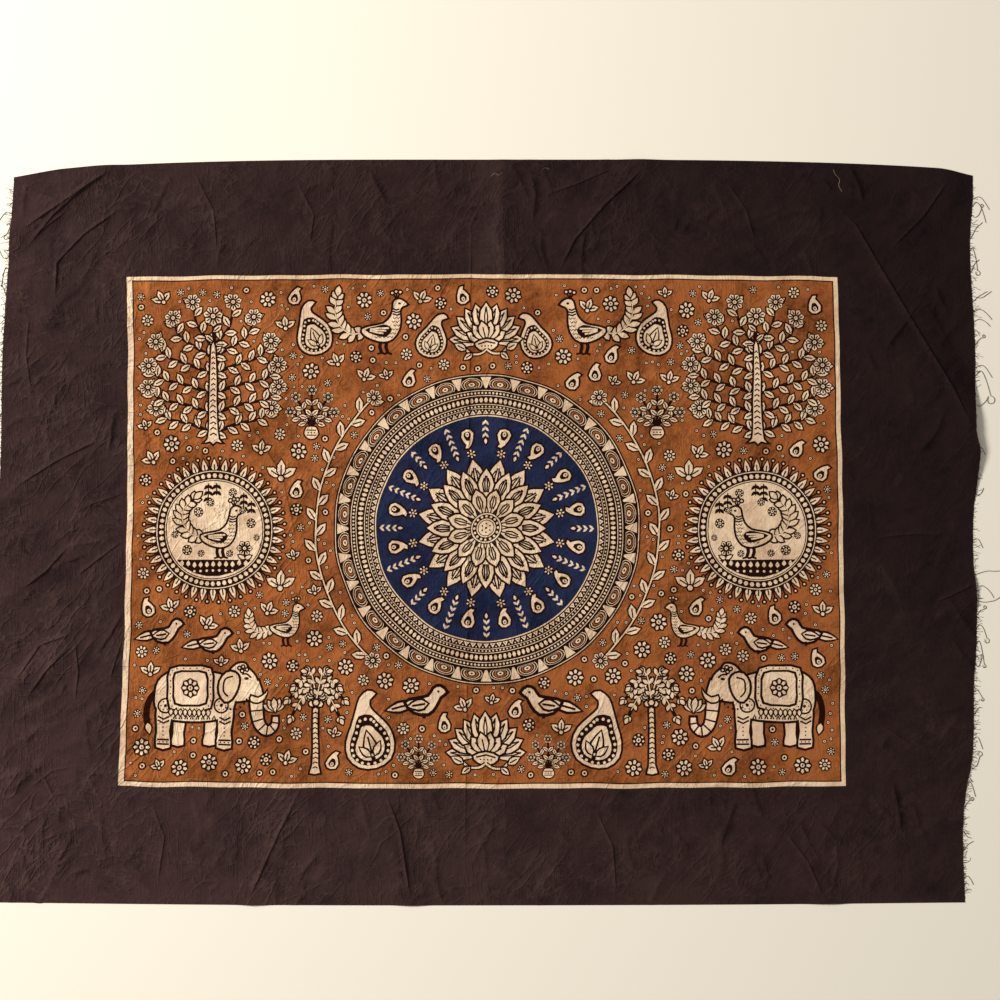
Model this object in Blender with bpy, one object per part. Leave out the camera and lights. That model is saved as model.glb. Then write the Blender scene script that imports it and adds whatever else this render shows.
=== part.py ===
# A painted and mordant-dyed cotton shrine cloth, laid out flat on a surface with its printed face up.
# Metres, +Z up. The origin is on the surface, under the middle of the cloth's outer box.
# +X runs along the long side, and +Y across it to the top edge.
# The two short edges are raw: their loose threads are fused to a narrow strip beside the cloth.

import math
import random
from collections import namedtuple

import bmesh
import bpy

# Driving dimensions
CLOTH_THICKNESS = 0.0012
HALF_REACH = 0.628        # from the middle out to the tip of the longest loose thread
COLUMNS_LEFT = 29         # cells from the left edge to the middle crease
COLUMNS_RIGHT = 30        # cells from the middle crease to the right edge
ROWS = 44
CREASE_CELL = 0.014       # width of the two cells beside the middle crease
FLAT_BELOW = 0.00025      # a fold lower than this lies on the surface

STRIP_GAP = 0.0003        # between the cloth's raw edge and the strip of loose threads
STRIP_WIDTH = 0.0030
THREAD_WIDTH = 0.0009
THREAD_HEIGHT = 0.0008
TIP_SHARE = 0.35          # width of a thread's tip as a share of its body
THREAD_STEP = 0.0045      # length of one straight stretch of a thread
THREAD_CLEARANCE = 0.0026 # least distance between the middles of two threads
ROOT_MARGIN = 0.0022      # a thread's root stays this far from the strip's corners
THREAD_TRIES = 3          # roots that are tried for each thread of a zone
THREAD_SEED = 11

# The outline: how far out each edge lies at places along it, with a smooth curve between.
Station = namedtuple("Station", "along out")

LEFT_EDGE = (
    Station(along=-0.4590, out=-0.6063),
    Station(along=-0.3960, out=-0.6100),
    Station(along=-0.2140, out=-0.6134),
    Station(along=-0.0420, out=-0.6150),
    Station(along=0.0950, out=-0.6134),
    Station(along=0.2090, out=-0.6142),
    Station(along=0.2820, out=-0.6116),
    Station(along=0.3600, out=-0.6078),
    Station(along=0.4400, out=-0.6048),
)
RIGHT_EDGE = (
    Station(along=-0.4590, out=0.5750),
    Station(along=-0.3720, out=0.5740),
    Station(along=-0.3250, out=0.5790),
    Station(along=-0.2820, out=0.5880),
    Station(along=-0.1900, out=0.5920),
    Station(along=-0.1500, out=0.5955),
    Station(along=-0.0880, out=0.5970),
    Station(along=-0.0450, out=0.5942),
    Station(along=0.0150, out=0.5955),
    Station(along=0.0500, out=0.6000),
    Station(along=0.0930, out=0.6035),
    Station(along=0.1180, out=0.5988),
    Station(along=0.2190, out=0.6022),
    Station(along=0.3500, out=0.5985),
    Station(along=0.4070, out=0.6028),
    Station(along=0.4420, out=0.6042),
)
TOP_EDGE = (
    Station(along=-0.6048, out=0.4400),
    Station(along=-0.5330, out=0.4518),
    Station(along=-0.3100, out=0.4610),
    Station(along=-0.0100, out=0.4625),
    Station(along=0.3200, out=0.4610),
    Station(along=0.5580, out=0.4520),
    Station(along=0.6042, out=0.4420),
)
BOTTOM_EDGE = (
    Station(along=-0.6063, out=-0.4590),
    Station(along=-0.3000, out=-0.4620),
    Station(along=-0.0100, out=-0.4625),
    Station(along=0.3000, out=-0.4615),
    Station(along=0.5750, out=-0.4590),
)

# Folds that lift the cloth off the surface. Each is a ridge from a start to an end, bowed to its left,
# with a flank on its left and one on its right, and a share of its length over which it rises and sinks.
Fold = namedtuple("Fold", "startX startY endX endY bow height leftFlank rightFlank rise sink")

FOLDS = (
    Fold(0.420, 0.425, 0.634, 0.042, 0.013, 0.0085, 0.034, 0.090, 0.75, 0.18),
    Fold(0.590, 0.452, 0.494, 0.335, 0.004, 0.0034, 0.040, 0.030, 0.25, 0.50),
    Fold(0.650, -0.060, 0.530, -0.108, 0.000, 0.0026, 0.030, 0.036, 0.30, 0.50),
    Fold(0.470, -0.015, 0.590, -0.011, 0.003, 0.0020, 0.028, 0.028, 0.45, 0.45),
    Fold(0.012, 0.478, 0.016, 0.170, 0.000, 0.0012, 0.026, 0.020, 0.10, 0.60),
    Fold(0.215, 0.480, 0.078, 0.312, -0.012, 0.0030, 0.026, 0.034, 0.20, 0.45),
    Fold(0.165, 0.462, 0.050, 0.410, 0.004, 0.0018, 0.024, 0.024, 0.30, 0.50),
    Fold(-0.455, 0.480, -0.650, 0.327, 0.000, 0.0036, 0.026, 0.032, 0.20, 0.20),
    Fold(-0.480, 0.410, -0.560, 0.318, 0.006, 0.0024, 0.024, 0.026, 0.40, 0.40),
    Fold(-0.550, 0.330, -0.572, 0.150, 0.000, 0.0024, 0.028, 0.030, 0.30, 0.40),
    Fold(-0.470, 0.118, -0.640, 0.022, 0.004, 0.0030, 0.028, 0.026, 0.35, 0.20),
    Fold(-0.462, 0.000, -0.640, -0.116, -0.004, 0.0028, 0.026, 0.028, 0.35, 0.20),
    Fold(-0.500, -0.122, -0.640, -0.240, 0.008, 0.0034, 0.028, 0.032, 0.35, 0.20),
    Fold(-0.460, -0.130, -0.482, -0.215, 0.000, 0.0018, 0.022, 0.026, 0.45, 0.45),
    Fold(-0.560, -0.260, -0.470, -0.405, 0.006, 0.0022, 0.030, 0.030, 0.45, 0.45),
    Fold(-0.232, -0.318, -0.300, -0.475, 0.000, 0.0022, 0.028, 0.028, 0.45, 0.10),
    Fold(-0.135, -0.318, -0.094, -0.475, -0.006, 0.0024, 0.030, 0.026, 0.45, 0.10),
    Fold(0.330, -0.360, 0.420, -0.478, 0.004, 0.0020, 0.030, 0.030, 0.45, 0.10),
)

# The press crease down the middle, left by storing the cloth folded in two.
CREASE_TOP_X = -0.0270
CREASE_BOTTOM_X = -0.0355
CREASE_HEIGHT = 0.0011

# Loose threads. A zone is a stretch of a raw edge with threads of one kind.
Zone = namedtuple("Zone", "low high perCell shortest longest turn")

LEFT_ZONES = (
    Zone(low=-0.452, high=-0.150, perCell=1, shortest=0.004, longest=0.009, turn=1.2),
    Zone(low=-0.150, high=0.430, perCell=2, shortest=0.004, longest=0.0095, turn=1.6),
)
RIGHT_ZONES = (
    Zone(low=-0.452, high=-0.200, perCell=3, shortest=0.0035, longest=0.008, turn=1.2),
    Zone(low=-0.200, high=-0.020, perCell=2, shortest=0.0035, longest=0.008, turn=1.2),
    Zone(low=-0.020, high=0.180, perCell=1, shortest=0.004, longest=0.007, turn=1.0),
    Zone(low=0.180, high=0.430, perCell=1, shortest=0.004, longest=0.008, turn=1.6),
)

# The threads that hang out furthest: where each leaves its edge, how far out and how far along its tip
# ends, and how much it bows on the way.
LongThread = namedtuple("LongThread", "root out along bow")

LEFT_LONG = (
    LongThread(root=0.3930, out=0.0165, along=-0.010, bow=0.004),
    LongThread(root=0.3390, out=0.0140, along=0.011, bow=-0.005),
    LongThread(root=0.2600, out=None, along=-0.016, bow=0.006),
    LongThread(root=0.1650, out=0.0098, along=0.013, bow=0.005),
    LongThread(root=0.0280, out=0.0095, along=-0.012, bow=-0.004),
    LongThread(root=-0.1120, out=0.0090, along=0.010, bow=0.004),
)
RIGHT_LONG = (
    LongThread(root=0.4110, out=0.0185, along=-0.013, bow=0.006),
    LongThread(root=0.3600, out=0.0140, along=0.016, bow=0.007),
    LongThread(root=0.2890, out=0.0210, along=0.006, bow=-0.004),
    LongThread(root=0.2560, out=0.0170, along=-0.006, bow=0.004),
    LongThread(root=0.1970, out=0.0180, along=-0.012, bow=0.006),
    LongThread(root=0.1520, out=0.0150, along=0.010, bow=-0.004),
    LongThread(root=-0.0600, out=None, along=0.004, bow=0.003),
    LongThread(root=-0.0920, out=0.0265, along=0.004, bow=-0.003),
    LongThread(root=-0.1260, out=0.0175, along=-0.012, bow=0.006),
    LongThread(root=-0.2040, out=0.0110, along=-0.008, bow=0.003),
)
LONG_THREAD_STEPS = 6


def clear_objects():
    for old in list(bpy.data.objects):
        bpy.data.objects.remove(old, do_unlink=True)


def new_collection(name):
    collection = bpy.data.collections.new(name)
    bpy.context.scene.collection.children.link(collection)
    return collection


def dyed_cotton(name, colour, roughness):
    material = bpy.data.materials.new(name)
    material.use_nodes = True
    shader = material.node_tree.nodes["Principled BSDF"]
    shader.inputs["Base Color"].default_value = (*colour, 1.0)
    shader.inputs["Roughness"].default_value = roughness
    shader.inputs["Metallic"].default_value = 0.0
    return material


# Outline

def slope_at(edge, index):
    before = edge[max(index - 1, 0)]
    after = edge[min(index + 1, len(edge) - 1)]
    return (after.out - before.out) / (after.along - before.along)


def edge_out(edge, along):
    # A cubic curve through the edge's stations.
    index = 0
    while index < len(edge) - 2 and along > edge[index + 1].along:
        index += 1
    first, second = edge[index], edge[index + 1]
    span = second.along - first.along
    t = min(max((along - first.along) / span, 0.0), 1.0)
    rise = slope_at(edge, index) * span
    settle = slope_at(edge, index + 1) * span
    return (
        (2 * t**3 - 3 * t**2 + 1) * first.out
        + (t**3 - 2 * t**2 + t) * rise
        + (3 * t**2 - 2 * t**3) * second.out
        + (t**3 - t**2) * settle
    )


def blend(a, b, t):
    return a + (b - a) * t


def side_point(edge, v):
    y = blend(edge[0].along, edge[-1].along, v)
    return edge_out(edge, y), y


def end_point(edge, u):
    x = blend(edge[0].along, edge[-1].along, u)
    return x, edge_out(edge, x)


def cloth_point(u, v):
    # The patch that the four edges bound, u from left to right and v from bottom to top.
    left, right = side_point(LEFT_EDGE, v), side_point(RIGHT_EDGE, v)
    bottom, top = end_point(BOTTOM_EDGE, u), end_point(TOP_EDGE, u)
    low_left, low_right = side_point(LEFT_EDGE, 0.0), side_point(RIGHT_EDGE, 0.0)
    high_left, high_right = side_point(LEFT_EDGE, 1.0), side_point(RIGHT_EDGE, 1.0)
    return tuple(
        blend(left[i], right[i], u)
        + blend(bottom[i], top[i], v)
        - blend(blend(low_left[i], low_right[i], u), blend(high_left[i], high_right[i], u), v)
        for i in (0, 1)
    )


# Folds

def ease(t):
    t = min(max(t, 0.0), 1.0)
    return t * t * (3.0 - 2.0 * t)


def fold_lift(fold, x, y):
    run_x, run_y = fold.endX - fold.startX, fold.endY - fold.startY
    length = math.hypot(run_x, run_y)
    run_x, run_y = run_x / length, run_y / length
    along = ((x - fold.startX) * run_x + (y - fold.startY) * run_y) / length
    if along <= 0.0 or along >= 1.0:
        return 0.0
    across = (y - fold.startY) * run_x - (x - fold.startX) * run_y
    across -= 4.0 * fold.bow * along * (1.0 - along)
    flank = fold.leftFlank if across > 0.0 else fold.rightFlank
    if abs(across) >= flank:
        return 0.0
    lift = fold.height * 0.5 * (1.0 + math.cos(math.pi * across / flank))
    if fold.rise:
        lift *= ease(along / fold.rise)
    if fold.sink:
        lift *= ease((1.0 - along) / fold.sink)
    return lift


def crease_x(y):
    share = (y - BOTTOM_EDGE[2].out) / (TOP_EDGE[3].out - BOTTOM_EDGE[2].out)
    return blend(CREASE_BOTTOM_X, CREASE_TOP_X, share)


def crease_lift(x, y):
    distance = abs(x - crease_x(y)) / CREASE_CELL
    return CREASE_HEIGHT * ease(1.0 - distance)


def cloth_height(x, y):
    squares = sum(fold_lift(fold, x, y) ** 2 for fold in FOLDS)
    height = math.sqrt(squares + crease_lift(x, y) ** 2)
    return height if height > FLAT_BELOW else 0.0


# The cloth

def column_shares(v):
    # Where the columns of cells lie across a row, so that one column follows the middle crease.
    left, right = side_point(LEFT_EDGE, v)[0], side_point(RIGHT_EDGE, v)[0]
    middle = (crease_x(side_point(LEFT_EDGE, v)[1]) - left) / (right - left)
    beside = CREASE_CELL / (right - left)
    shares = [(middle - beside) * i / (COLUMNS_LEFT - 1) for i in range(COLUMNS_LEFT)]
    shares.append(middle)
    start = middle + beside
    shares += [blend(start, 1.0, i / (COLUMNS_RIGHT - 1)) for i in range(COLUMNS_RIGHT)]
    return shares


def make_cloth(collection):
    mesh = bpy.data.meshes.new("cloth")
    grid = bmesh.new()
    columns = COLUMNS_LEFT + COLUMNS_RIGHT
    made = bmesh.ops.create_grid(grid, x_segments=columns, y_segments=ROWS, size=0.5)
    for vertex in made["verts"]:
        column = round((vertex.co.x + 0.5) * columns)
        v = round((vertex.co.y + 0.5) * ROWS) / ROWS
        x, y = cloth_point(column_shares(v)[column], v)
        vertex.co = (x, y, cloth_height(x, y))
    bmesh.ops.triangulate(grid, faces=grid.faces[:])
    underside = grid.faces[:]
    raised = bmesh.ops.extrude_face_region(grid, geom=underside, use_keep_orig=True)
    for item in raised["geom"]:
        if isinstance(item, bmesh.types.BMVert):
            item.co.z += CLOTH_THICKNESS
    bmesh.ops.recalc_face_normals(grid, faces=grid.faces[:])
    grid.to_mesh(mesh)
    grid.free()
    cloth = bpy.data.objects.new("cloth", mesh)
    collection.objects.link(cloth)
    mesh.materials.append(dyed_cotton("mordant-dyed cotton", (0.045, 0.022, 0.018), 0.9))
    mesh.shade_smooth()
    mesh.set_sharp_from_angle(angle=math.radians(40))
    return cloth


# Loose threads

def raw_edge(edge, outward):
    # The cloth's raw edge as its cells make it, moved out by the gap that parts the strip from it.
    points = []
    for row in range(ROWS + 1):
        x, y = side_point(edge, row / ROWS)
        points.append((x + outward * STRIP_GAP, y, cloth_height(x, y)))
    return points


def raw_edge_at(points, y):
    index = 0
    while index < len(points) - 2 and y > points[index + 1][1]:
        index += 1
    t = (y - points[index][1]) / (points[index + 1][1] - points[index][1])
    return tuple(blend(points[index][i], points[index + 1][i], t) for i in range(3))


def thread_height(root_height, share):
    # A thread falls from its root to the surface over the first half of its length, then lies on it.
    return root_height * (1.0 - ease(share / 0.5))


def short_thread(root, outward, length, turn):
    # A thread that curls evenly as it leaves the strip.
    steps = max(2, round(length / THREAD_STEP))
    x, y = root[0] + outward * STRIP_WIDTH, root[1]
    path = [(x, y, root[2])]
    for step in range(steps):
        heading = turn * (step + 0.5) / steps
        x += outward * math.cos(heading) * length / steps
        y += math.sin(heading) * length / steps
        path.append((x, y, thread_height(root[2], (step + 1) / steps)))
    return path


def long_thread(root, outward, thread):
    # A thread that bows on its way to a tip, which for one on each side is the outermost point.
    start_x = root[0] + outward * STRIP_WIDTH
    reach = outward * HALF_REACH - start_x if thread.out is None else outward * thread.out
    path = []
    for step in range(LONG_THREAD_STEPS + 1):
        t = step / LONG_THREAD_STEPS
        x = start_x + reach * t
        y = root[1] + thread.along * t * t + thread.bow * math.sin(math.pi * t)
        path.append((x, y, thread_height(root[2], t)))
    return path


def stands_clear(path, others):
    return all(
        math.dist(here[:2], there[:2]) > THREAD_CLEARANCE
        for other in others
        for there in other
        for here in path
    )


def thread_paths(points, outward, zones, long_threads):
    dice = random.Random(THREAD_SEED + round(outward))
    paths = [long_thread(raw_edge_at(points, t.root), outward, t) for t in long_threads]
    for zone in zones:
        for low, high in zip(points, points[1:]):
            if not zone.low <= low[1] < zone.high:
                continue
            room = (high[1] - low[1]) / zone.perCell
            for index in range(zone.perCell):
                for _ in range(THREAD_TRIES):
                    start = low[1] + room * index
                    y = dice.uniform(start + ROOT_MARGIN, start + room - ROOT_MARGIN)
                    length = dice.uniform(zone.shortest, zone.longest)
                    turn = dice.uniform(-zone.turn, zone.turn)
                    path = short_thread(raw_edge_at(points, y), outward, length, turn)
                    if stands_clear(path, paths):
                        paths.append(path)
                        break
    return sorted(paths, key=lambda path: path[0][1])


def strip_section(builder, point, outward):
    # Four corners of the strip: inner low, inner high, outer high, outer low.
    x, y, z = point
    outer = x + outward * STRIP_WIDTH
    corners = ((x, z), (x, z + THREAD_HEIGHT), (outer, z + THREAD_HEIGHT), (outer, z))
    return [builder.verts.new((cx, y, cz)) for cx, cz in corners]


def thread_ring(builder, path, index):
    before, after = path[max(index - 1, 0)], path[min(index + 1, len(path) - 1)]
    run_x, run_y = after[0] - before[0], after[1] - before[1]
    width = THREAD_WIDTH * (TIP_SHARE if index == len(path) - 1 else 1.0)
    scale = 0.5 * width / math.hypot(run_x, run_y)
    side_x, side_y = -run_y * scale, run_x * scale
    x, y, z = path[index]
    high = z + THREAD_HEIGHT
    corners = (
        (x - side_x, y - side_y, z),
        (x - side_x, y - side_y, high),
        (x + side_x, y + side_y, high),
        (x + side_x, y + side_y, z),
    )
    return [builder.verts.new(corner) for corner in corners]


def add_thread(builder, path, outward, low, high):
    # The strip's outer wall between two sections carries the thread, so that they are one body.
    ring = [low[3], low[2], high[2], high[3]]
    for index in range(1, len(path)):
        following = thread_ring(builder, path, index)
        if outward < 0.0:
            following = [following[3], following[2], following[1], following[0]]
        for corner in range(4):
            other = (corner + 1) % 4
            builder.faces.new((ring[corner], ring[other], following[other], following[corner]))
        ring = following
    builder.faces.new(ring)


def make_fray(collection, name, edge, outward, zones, long_threads):
    points = raw_edge(edge, outward)
    paths = thread_paths(points, outward, zones, long_threads)
    roots = {}
    for path in paths:
        y = path[0][1]
        roots[y - THREAD_WIDTH / 2] = path
        roots[y + THREAD_WIDTH / 2] = None
    places = sorted([point[1] for point in points] + list(roots))
    builder = bmesh.new()
    sections = [strip_section(builder, raw_edge_at(points, y), outward) for y in places]
    for y, low, high in zip(places, sections, sections[1:]):
        for corner in range(4):
            if corner == 2 and roots.get(y):
                add_thread(builder, roots[y], outward, low, high)
                continue
            other = (corner + 1) % 4
            builder.faces.new((low[corner], low[other], high[other], high[corner]))
    builder.faces.new(sections[0])
    builder.faces.new(sections[-1])
    bmesh.ops.recalc_face_normals(builder, faces=builder.faces[:])
    mesh = bpy.data.meshes.new(name)
    builder.to_mesh(mesh)
    builder.free()
    fray = bpy.data.objects.new(name, mesh)
    collection.objects.link(fray)
    mesh.materials.append(dyed_cotton(f"loose cotton threads, {name}", (0.11, 0.065, 0.05), 0.95))
    print(name, len(paths), "threads")
    return fray


def main():
    clear_objects()
    collection = new_collection("shrine cloth")
    make_cloth(collection)
    make_fray(collection, "fray_left", LEFT_EDGE, -1.0, LEFT_ZONES, LEFT_LONG)
    make_fray(collection, "fray_right", RIGHT_EDGE, 1.0, RIGHT_ZONES, RIGHT_LONG)


main()
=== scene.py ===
import math
import random

import bmesh
import bpy
import numpy as np
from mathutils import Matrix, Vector
from mathutils.geometry import delaunay_2d_cdt


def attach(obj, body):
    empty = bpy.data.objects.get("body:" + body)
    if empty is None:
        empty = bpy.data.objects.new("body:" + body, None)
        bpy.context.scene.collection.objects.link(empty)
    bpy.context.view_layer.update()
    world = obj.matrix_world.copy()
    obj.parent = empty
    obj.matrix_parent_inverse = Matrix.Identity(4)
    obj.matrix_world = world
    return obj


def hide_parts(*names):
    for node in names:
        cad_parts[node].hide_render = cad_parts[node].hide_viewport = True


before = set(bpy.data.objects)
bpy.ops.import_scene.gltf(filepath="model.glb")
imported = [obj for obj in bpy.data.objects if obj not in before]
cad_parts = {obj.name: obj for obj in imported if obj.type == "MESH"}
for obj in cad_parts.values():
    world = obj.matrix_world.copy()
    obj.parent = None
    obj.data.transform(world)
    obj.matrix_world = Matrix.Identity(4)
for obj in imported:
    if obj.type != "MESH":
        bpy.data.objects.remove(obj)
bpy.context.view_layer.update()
scene = bpy.context.scene
mm = 0.001
tiny = 1e-6                    # mm, stands for no length where something is divided by it,
tinyArea = 1e-12               # square mm, and for no area
print("frame loaded")


# The print. Motifs are drawn in millimetres about the middle of the panel, +Y up, in painting order.
inks = ["ground", "cream", "rust", "indigo", "line"]
shapes = []      # (points, faces of point numbers, ink)

panelSizes = {
    "halfWide": 445.5, "halfHigh": 316.0,
    "bandLeft": 6.8, "bandRight": 5.2, "bandTop": 4.8, "bandBottom": 5.4,   # undyed frame
    "frameLine": 1.5,          # dark line inside the frame
    "strokeGain": 2.10,        # how much bolder the drawn lines are than their motifs say,
    "edgeGain": 2.20,          # and the outlines
}


def turned(points):
    # Counter-clockwise, as the triangulation wants its faces.
    area = sum(a[0] * b[1] - b[0] * a[1] for a, b in zip(points, points[1:] + points[:1]))
    return points if area > 0 else points[::-1]


def widened(points, margin):
    # The same closed shape with its edge moved out.
    points = turned(points)
    count = len(points)
    moved = []
    for i, (x, y) in enumerate(points):
        ax, ay = x - points[i - 1][0], y - points[i - 1][1]
        bx, by = points[(i + 1) % count][0] - x, points[(i + 1) % count][1] - y
        runA, runB = math.hypot(ax, ay) or tiny, math.hypot(bx, by) or tiny
        nx, ny = ay / runA + by / runB, -ax / runA - bx / runB
        size = math.hypot(nx, ny) or tiny
        reach = margin / max(size / 2, 0.62)       # a tip grows a little more than a side
        moved.append((x + nx / size * reach, y + ny / size * reach))
    return moved


def curved(points, per=3, closed=True):
    # A smooth line through the points.
    count = len(points)
    result = []
    for i in range(count if closed else count - 1):
        pick = [points[(i + k) % count] if closed else points[min(max(i + k, 0), count - 1)]
                for k in (-1, 0, 1, 2)]
        for step in range(per):
            t = step / per
            weights = (
                -0.5 * t + t * t - 0.5 * t**3, 1 - 2.5 * t * t + 1.5 * t**3,
                0.5 * t + 2 * t * t - 1.5 * t**3, -0.5 * t * t + 0.5 * t**3,
            )
            result.append(tuple(sum(w * p[axis] for w, p in zip(weights, pick)) for axis in (0, 1)))
    if not closed:
        result.append(points[-1])
    return result


def oval(x, y, wide, high=None, count=None, start=0.0):
    high = wide if high is None else high
    count = count or max(6, min(40, round(4 + max(wide, high) * 1.6)))
    return [(x + wide * math.cos(start + 2 * math.pi * i / count),
             y + high * math.sin(start + 2 * math.pi * i / count)) for i in range(count)]


def leafShape(length, width, belly=0.42, steps=4, start=0.0):
    # A leaf or petal that stands on the origin and points up.
    power = math.log(0.5) / math.log(belly)
    side = [(width / 2 * math.sin(math.pi * (i / steps) ** power), start + length * i / steps)
            for i in range(1, steps)]
    return [(0.0, start)] + side + [(0.0, start + length)] + [(-x, y) for x, y in reversed(side)]


class Pen:
    # A pen at a spot in the panel, which turns a motif's own millimetres into the panel's.

    def __init__(self, matrix=(1.0, 0.0, 0.0, 1.0), spot=(0.0, 0.0)):
        self.matrix, self.spot = matrix, spot

    def at(self, x, y, turn=0.0, size=1.0, flip=1):
        a, b, c, d = self.matrix
        cosTurn, sinTurn = math.cos(math.radians(turn)), math.sin(math.radians(turn))
        e, f, g, h = size * flip * cosTurn, -size * sinTurn, size * flip * sinTurn, size * cosTurn
        return Pen((a * e + b * g, a * f + b * h, c * e + d * g, c * f + d * h), self.mapped(x, y))

    def mapped(self, x, y):
        a, b, c, d = self.matrix
        return a * x + b * y + self.spot[0], c * x + d * y + self.spot[1]

    def fill(self, points, ink="cream"):
        points = turned([self.mapped(*point) for point in points])
        shapes.append((points, [list(range(len(points)))], ink))

    def edged(self, points, ink="cream", edge=1.15):
        self.fill(widened(points, edge * panelSizes["edgeGain"]), "line")
        self.fill(points, ink)

    def group(self, outlines, ink="cream", edge=1.15):
        # Overlapping shapes that share one outline.
        for points in outlines:
            self.fill(widened(points, edge * panelSizes["edgeGain"]), "line")
        for points in outlines:
            self.fill(points, ink)

    def stroke(self, points, width=1.0, ink="line", thin=1.0):
        # A drawn line, which may thin towards its end.
        count = len(points)
        left, right = [], []
        for i in range(count):
            before, after = points[max(i - 1, 0)], points[min(i + 1, count - 1)]
            runX, runY = after[0] - before[0], after[1] - before[1]
            run = math.hypot(runX, runY) or tiny
            half = 0.5 * width * panelSizes["strokeGain"] * (1 + (thin - 1) * i / (count - 1))
            nx, ny = -runY / run * half, runX / run * half
            left.append(self.mapped(points[i][0] + nx, points[i][1] + ny))
            right.append(self.mapped(points[i][0] - nx, points[i][1] - ny))
        flipped = self.matrix[0] * self.matrix[3] - self.matrix[1] * self.matrix[2] < 0
        faces = []
        for i in range(count - 1):
            quad = [i, i + count, i + count + 1, i + 1]
            faces.append(quad[::-1] if flipped else quad)
        shapes.append((left + right, faces, ink))

    def leaf(self, x, y, turn, length, width, belly=0.42, steps=4, edge=1.0, ink="cream", rib=0.0):
        pen = self.at(x, y, turn)
        edge *= panelSizes["edgeGain"]
        if edge:
            pen.fill(leafShape(length + 2.2 * edge, width + 2 * edge, belly, steps, -edge), "line")
        pen.fill(leafShape(length, width, belly, steps), ink)
        if rib:
            pen.stroke([(0, length * 0.12), (0, length * rib)], 0.8)

    def dot(self, x, y, size, count, ink="line"):
        self.fill(oval(x, y, size, count=count), ink)

    def bead(self, x, y, size, edge=0.9, ink="cream"):
        if edge:
            self.dot(x, y, size + edge * panelSizes["edgeGain"], 8)
        self.dot(x, y, size, 6, ink)


def around(count, start=0.0):
    return [start + 360.0 * i / count for i in range(count)]


def polar(angle, reach):
    # A spot by its distance from the middle and its angle in degrees, counter-clockwise from the right.
    return reach * math.cos(math.radians(angle)), reach * math.sin(math.radians(angle))


def outwards(pen, angle, distance):
    # A pen at a distance from the middle whose up points away from it; the angle runs clockwise from up.
    way = math.radians(angle)
    return pen.at(distance * math.sin(way), distance * math.cos(way), -angle)


# Small fillers

def rosette(pen, size, petals=8):
    rim = [(size * (0.96 + 0.06 * (-1) ** i) * math.cos(a), size * (0.96 + 0.06 * (-1) ** i) * math.sin(a))
           for i, a in enumerate(math.pi * i / petals for i in range(2 * petals))]
    pen.fill(rim, "line")
    for angle in around(petals, 90):
        pen.at(*polar(angle, 0.63 * size), angle).fill(oval(0, 0, 0.25 * size, 0.17 * size, count=5))
    pen.fill(oval(0, 0, 0.25 * size, count=6))
    pen.dot(0, 0, 0.11 * size, 4)


def sprig(pen, size):
    # Three leaves on a bud.
    for angle in (-58, 58, 0):
        pen.leaf(0, -0.35 * size, angle, 1.25 * size, 0.62 * size, belly=0.5, steps=3, edge=0.9, rib=0.7)
    pen.bead(0, -0.45 * size, 0.2 * size, 0.9)


def mangoDrop(pen, size):
    smallPaisley(pen, size / 12)


def dotRing(pen, size):
    pen.dot(0, 0, size, 9)
    pen.fill(oval(0, 0, 0.62 * size, count=7))
    pen.dot(0, 0, 0.34 * size, 5)


def ringRosette(pen, size):
    pen.dot(0, 0, size, 12)
    for angle in around(7):
        pen.fill(oval(*polar(angle, 0.68 * size), 0.17 * size, count=5))
    pen.fill(oval(0, 0, 0.34 * size, count=8))
    pen.dot(0, 0, 0.17 * size, 5)


def flower(pen, size, petals=7):
    # An open flower: pointed petals over a dark star, and an eye.
    star = [(size * (1.1 if i % 2 else 0.84) * math.sin(math.pi * i / petals),
             size * (1.1 if i % 2 else 0.84) * math.cos(math.pi * i / petals)) for i in range(2 * petals)]
    pen.fill(star, "line")
    for angle in around(petals, 180 / petals):
        pen.at(0, 0, angle).fill(leafShape(size * 0.7, size * 0.56, 0.66, 3, size * 0.26))
    for angle in around(petals, 180 / petals):
        pen.at(0, 0, angle).stroke([(0, size * 0.42), (0, size * 0.78)], 0.8)
    pen.bead(0, 0, size * 0.22, 1.0)
    pen.dot(0, 0, size * 0.09, 4)


# Leaves, drops and lotus

def leafPair(pen, length, width, spread=38, edge=0.0, ink="cream"):
    for side in (-1, 1):
        pen.leaf(0, 0, side * spread, length, width, edge=edge, ink=ink, steps=3)


def leafChain(pen, count, step=7.6, length=6.4, width=3.0):
    # A hanging string of leaf pairs that ends in a bud.
    for i in range(count):
        spot = pen.at(0, -step * i, 180)
        leafPair(spot, length, width)
        spot.fill(oval(0, 0.4, 1.1, 1.5, count=6))
    pen.leaf(0, -step * count + 1.5, 180, 6.5, 3.6)


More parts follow.
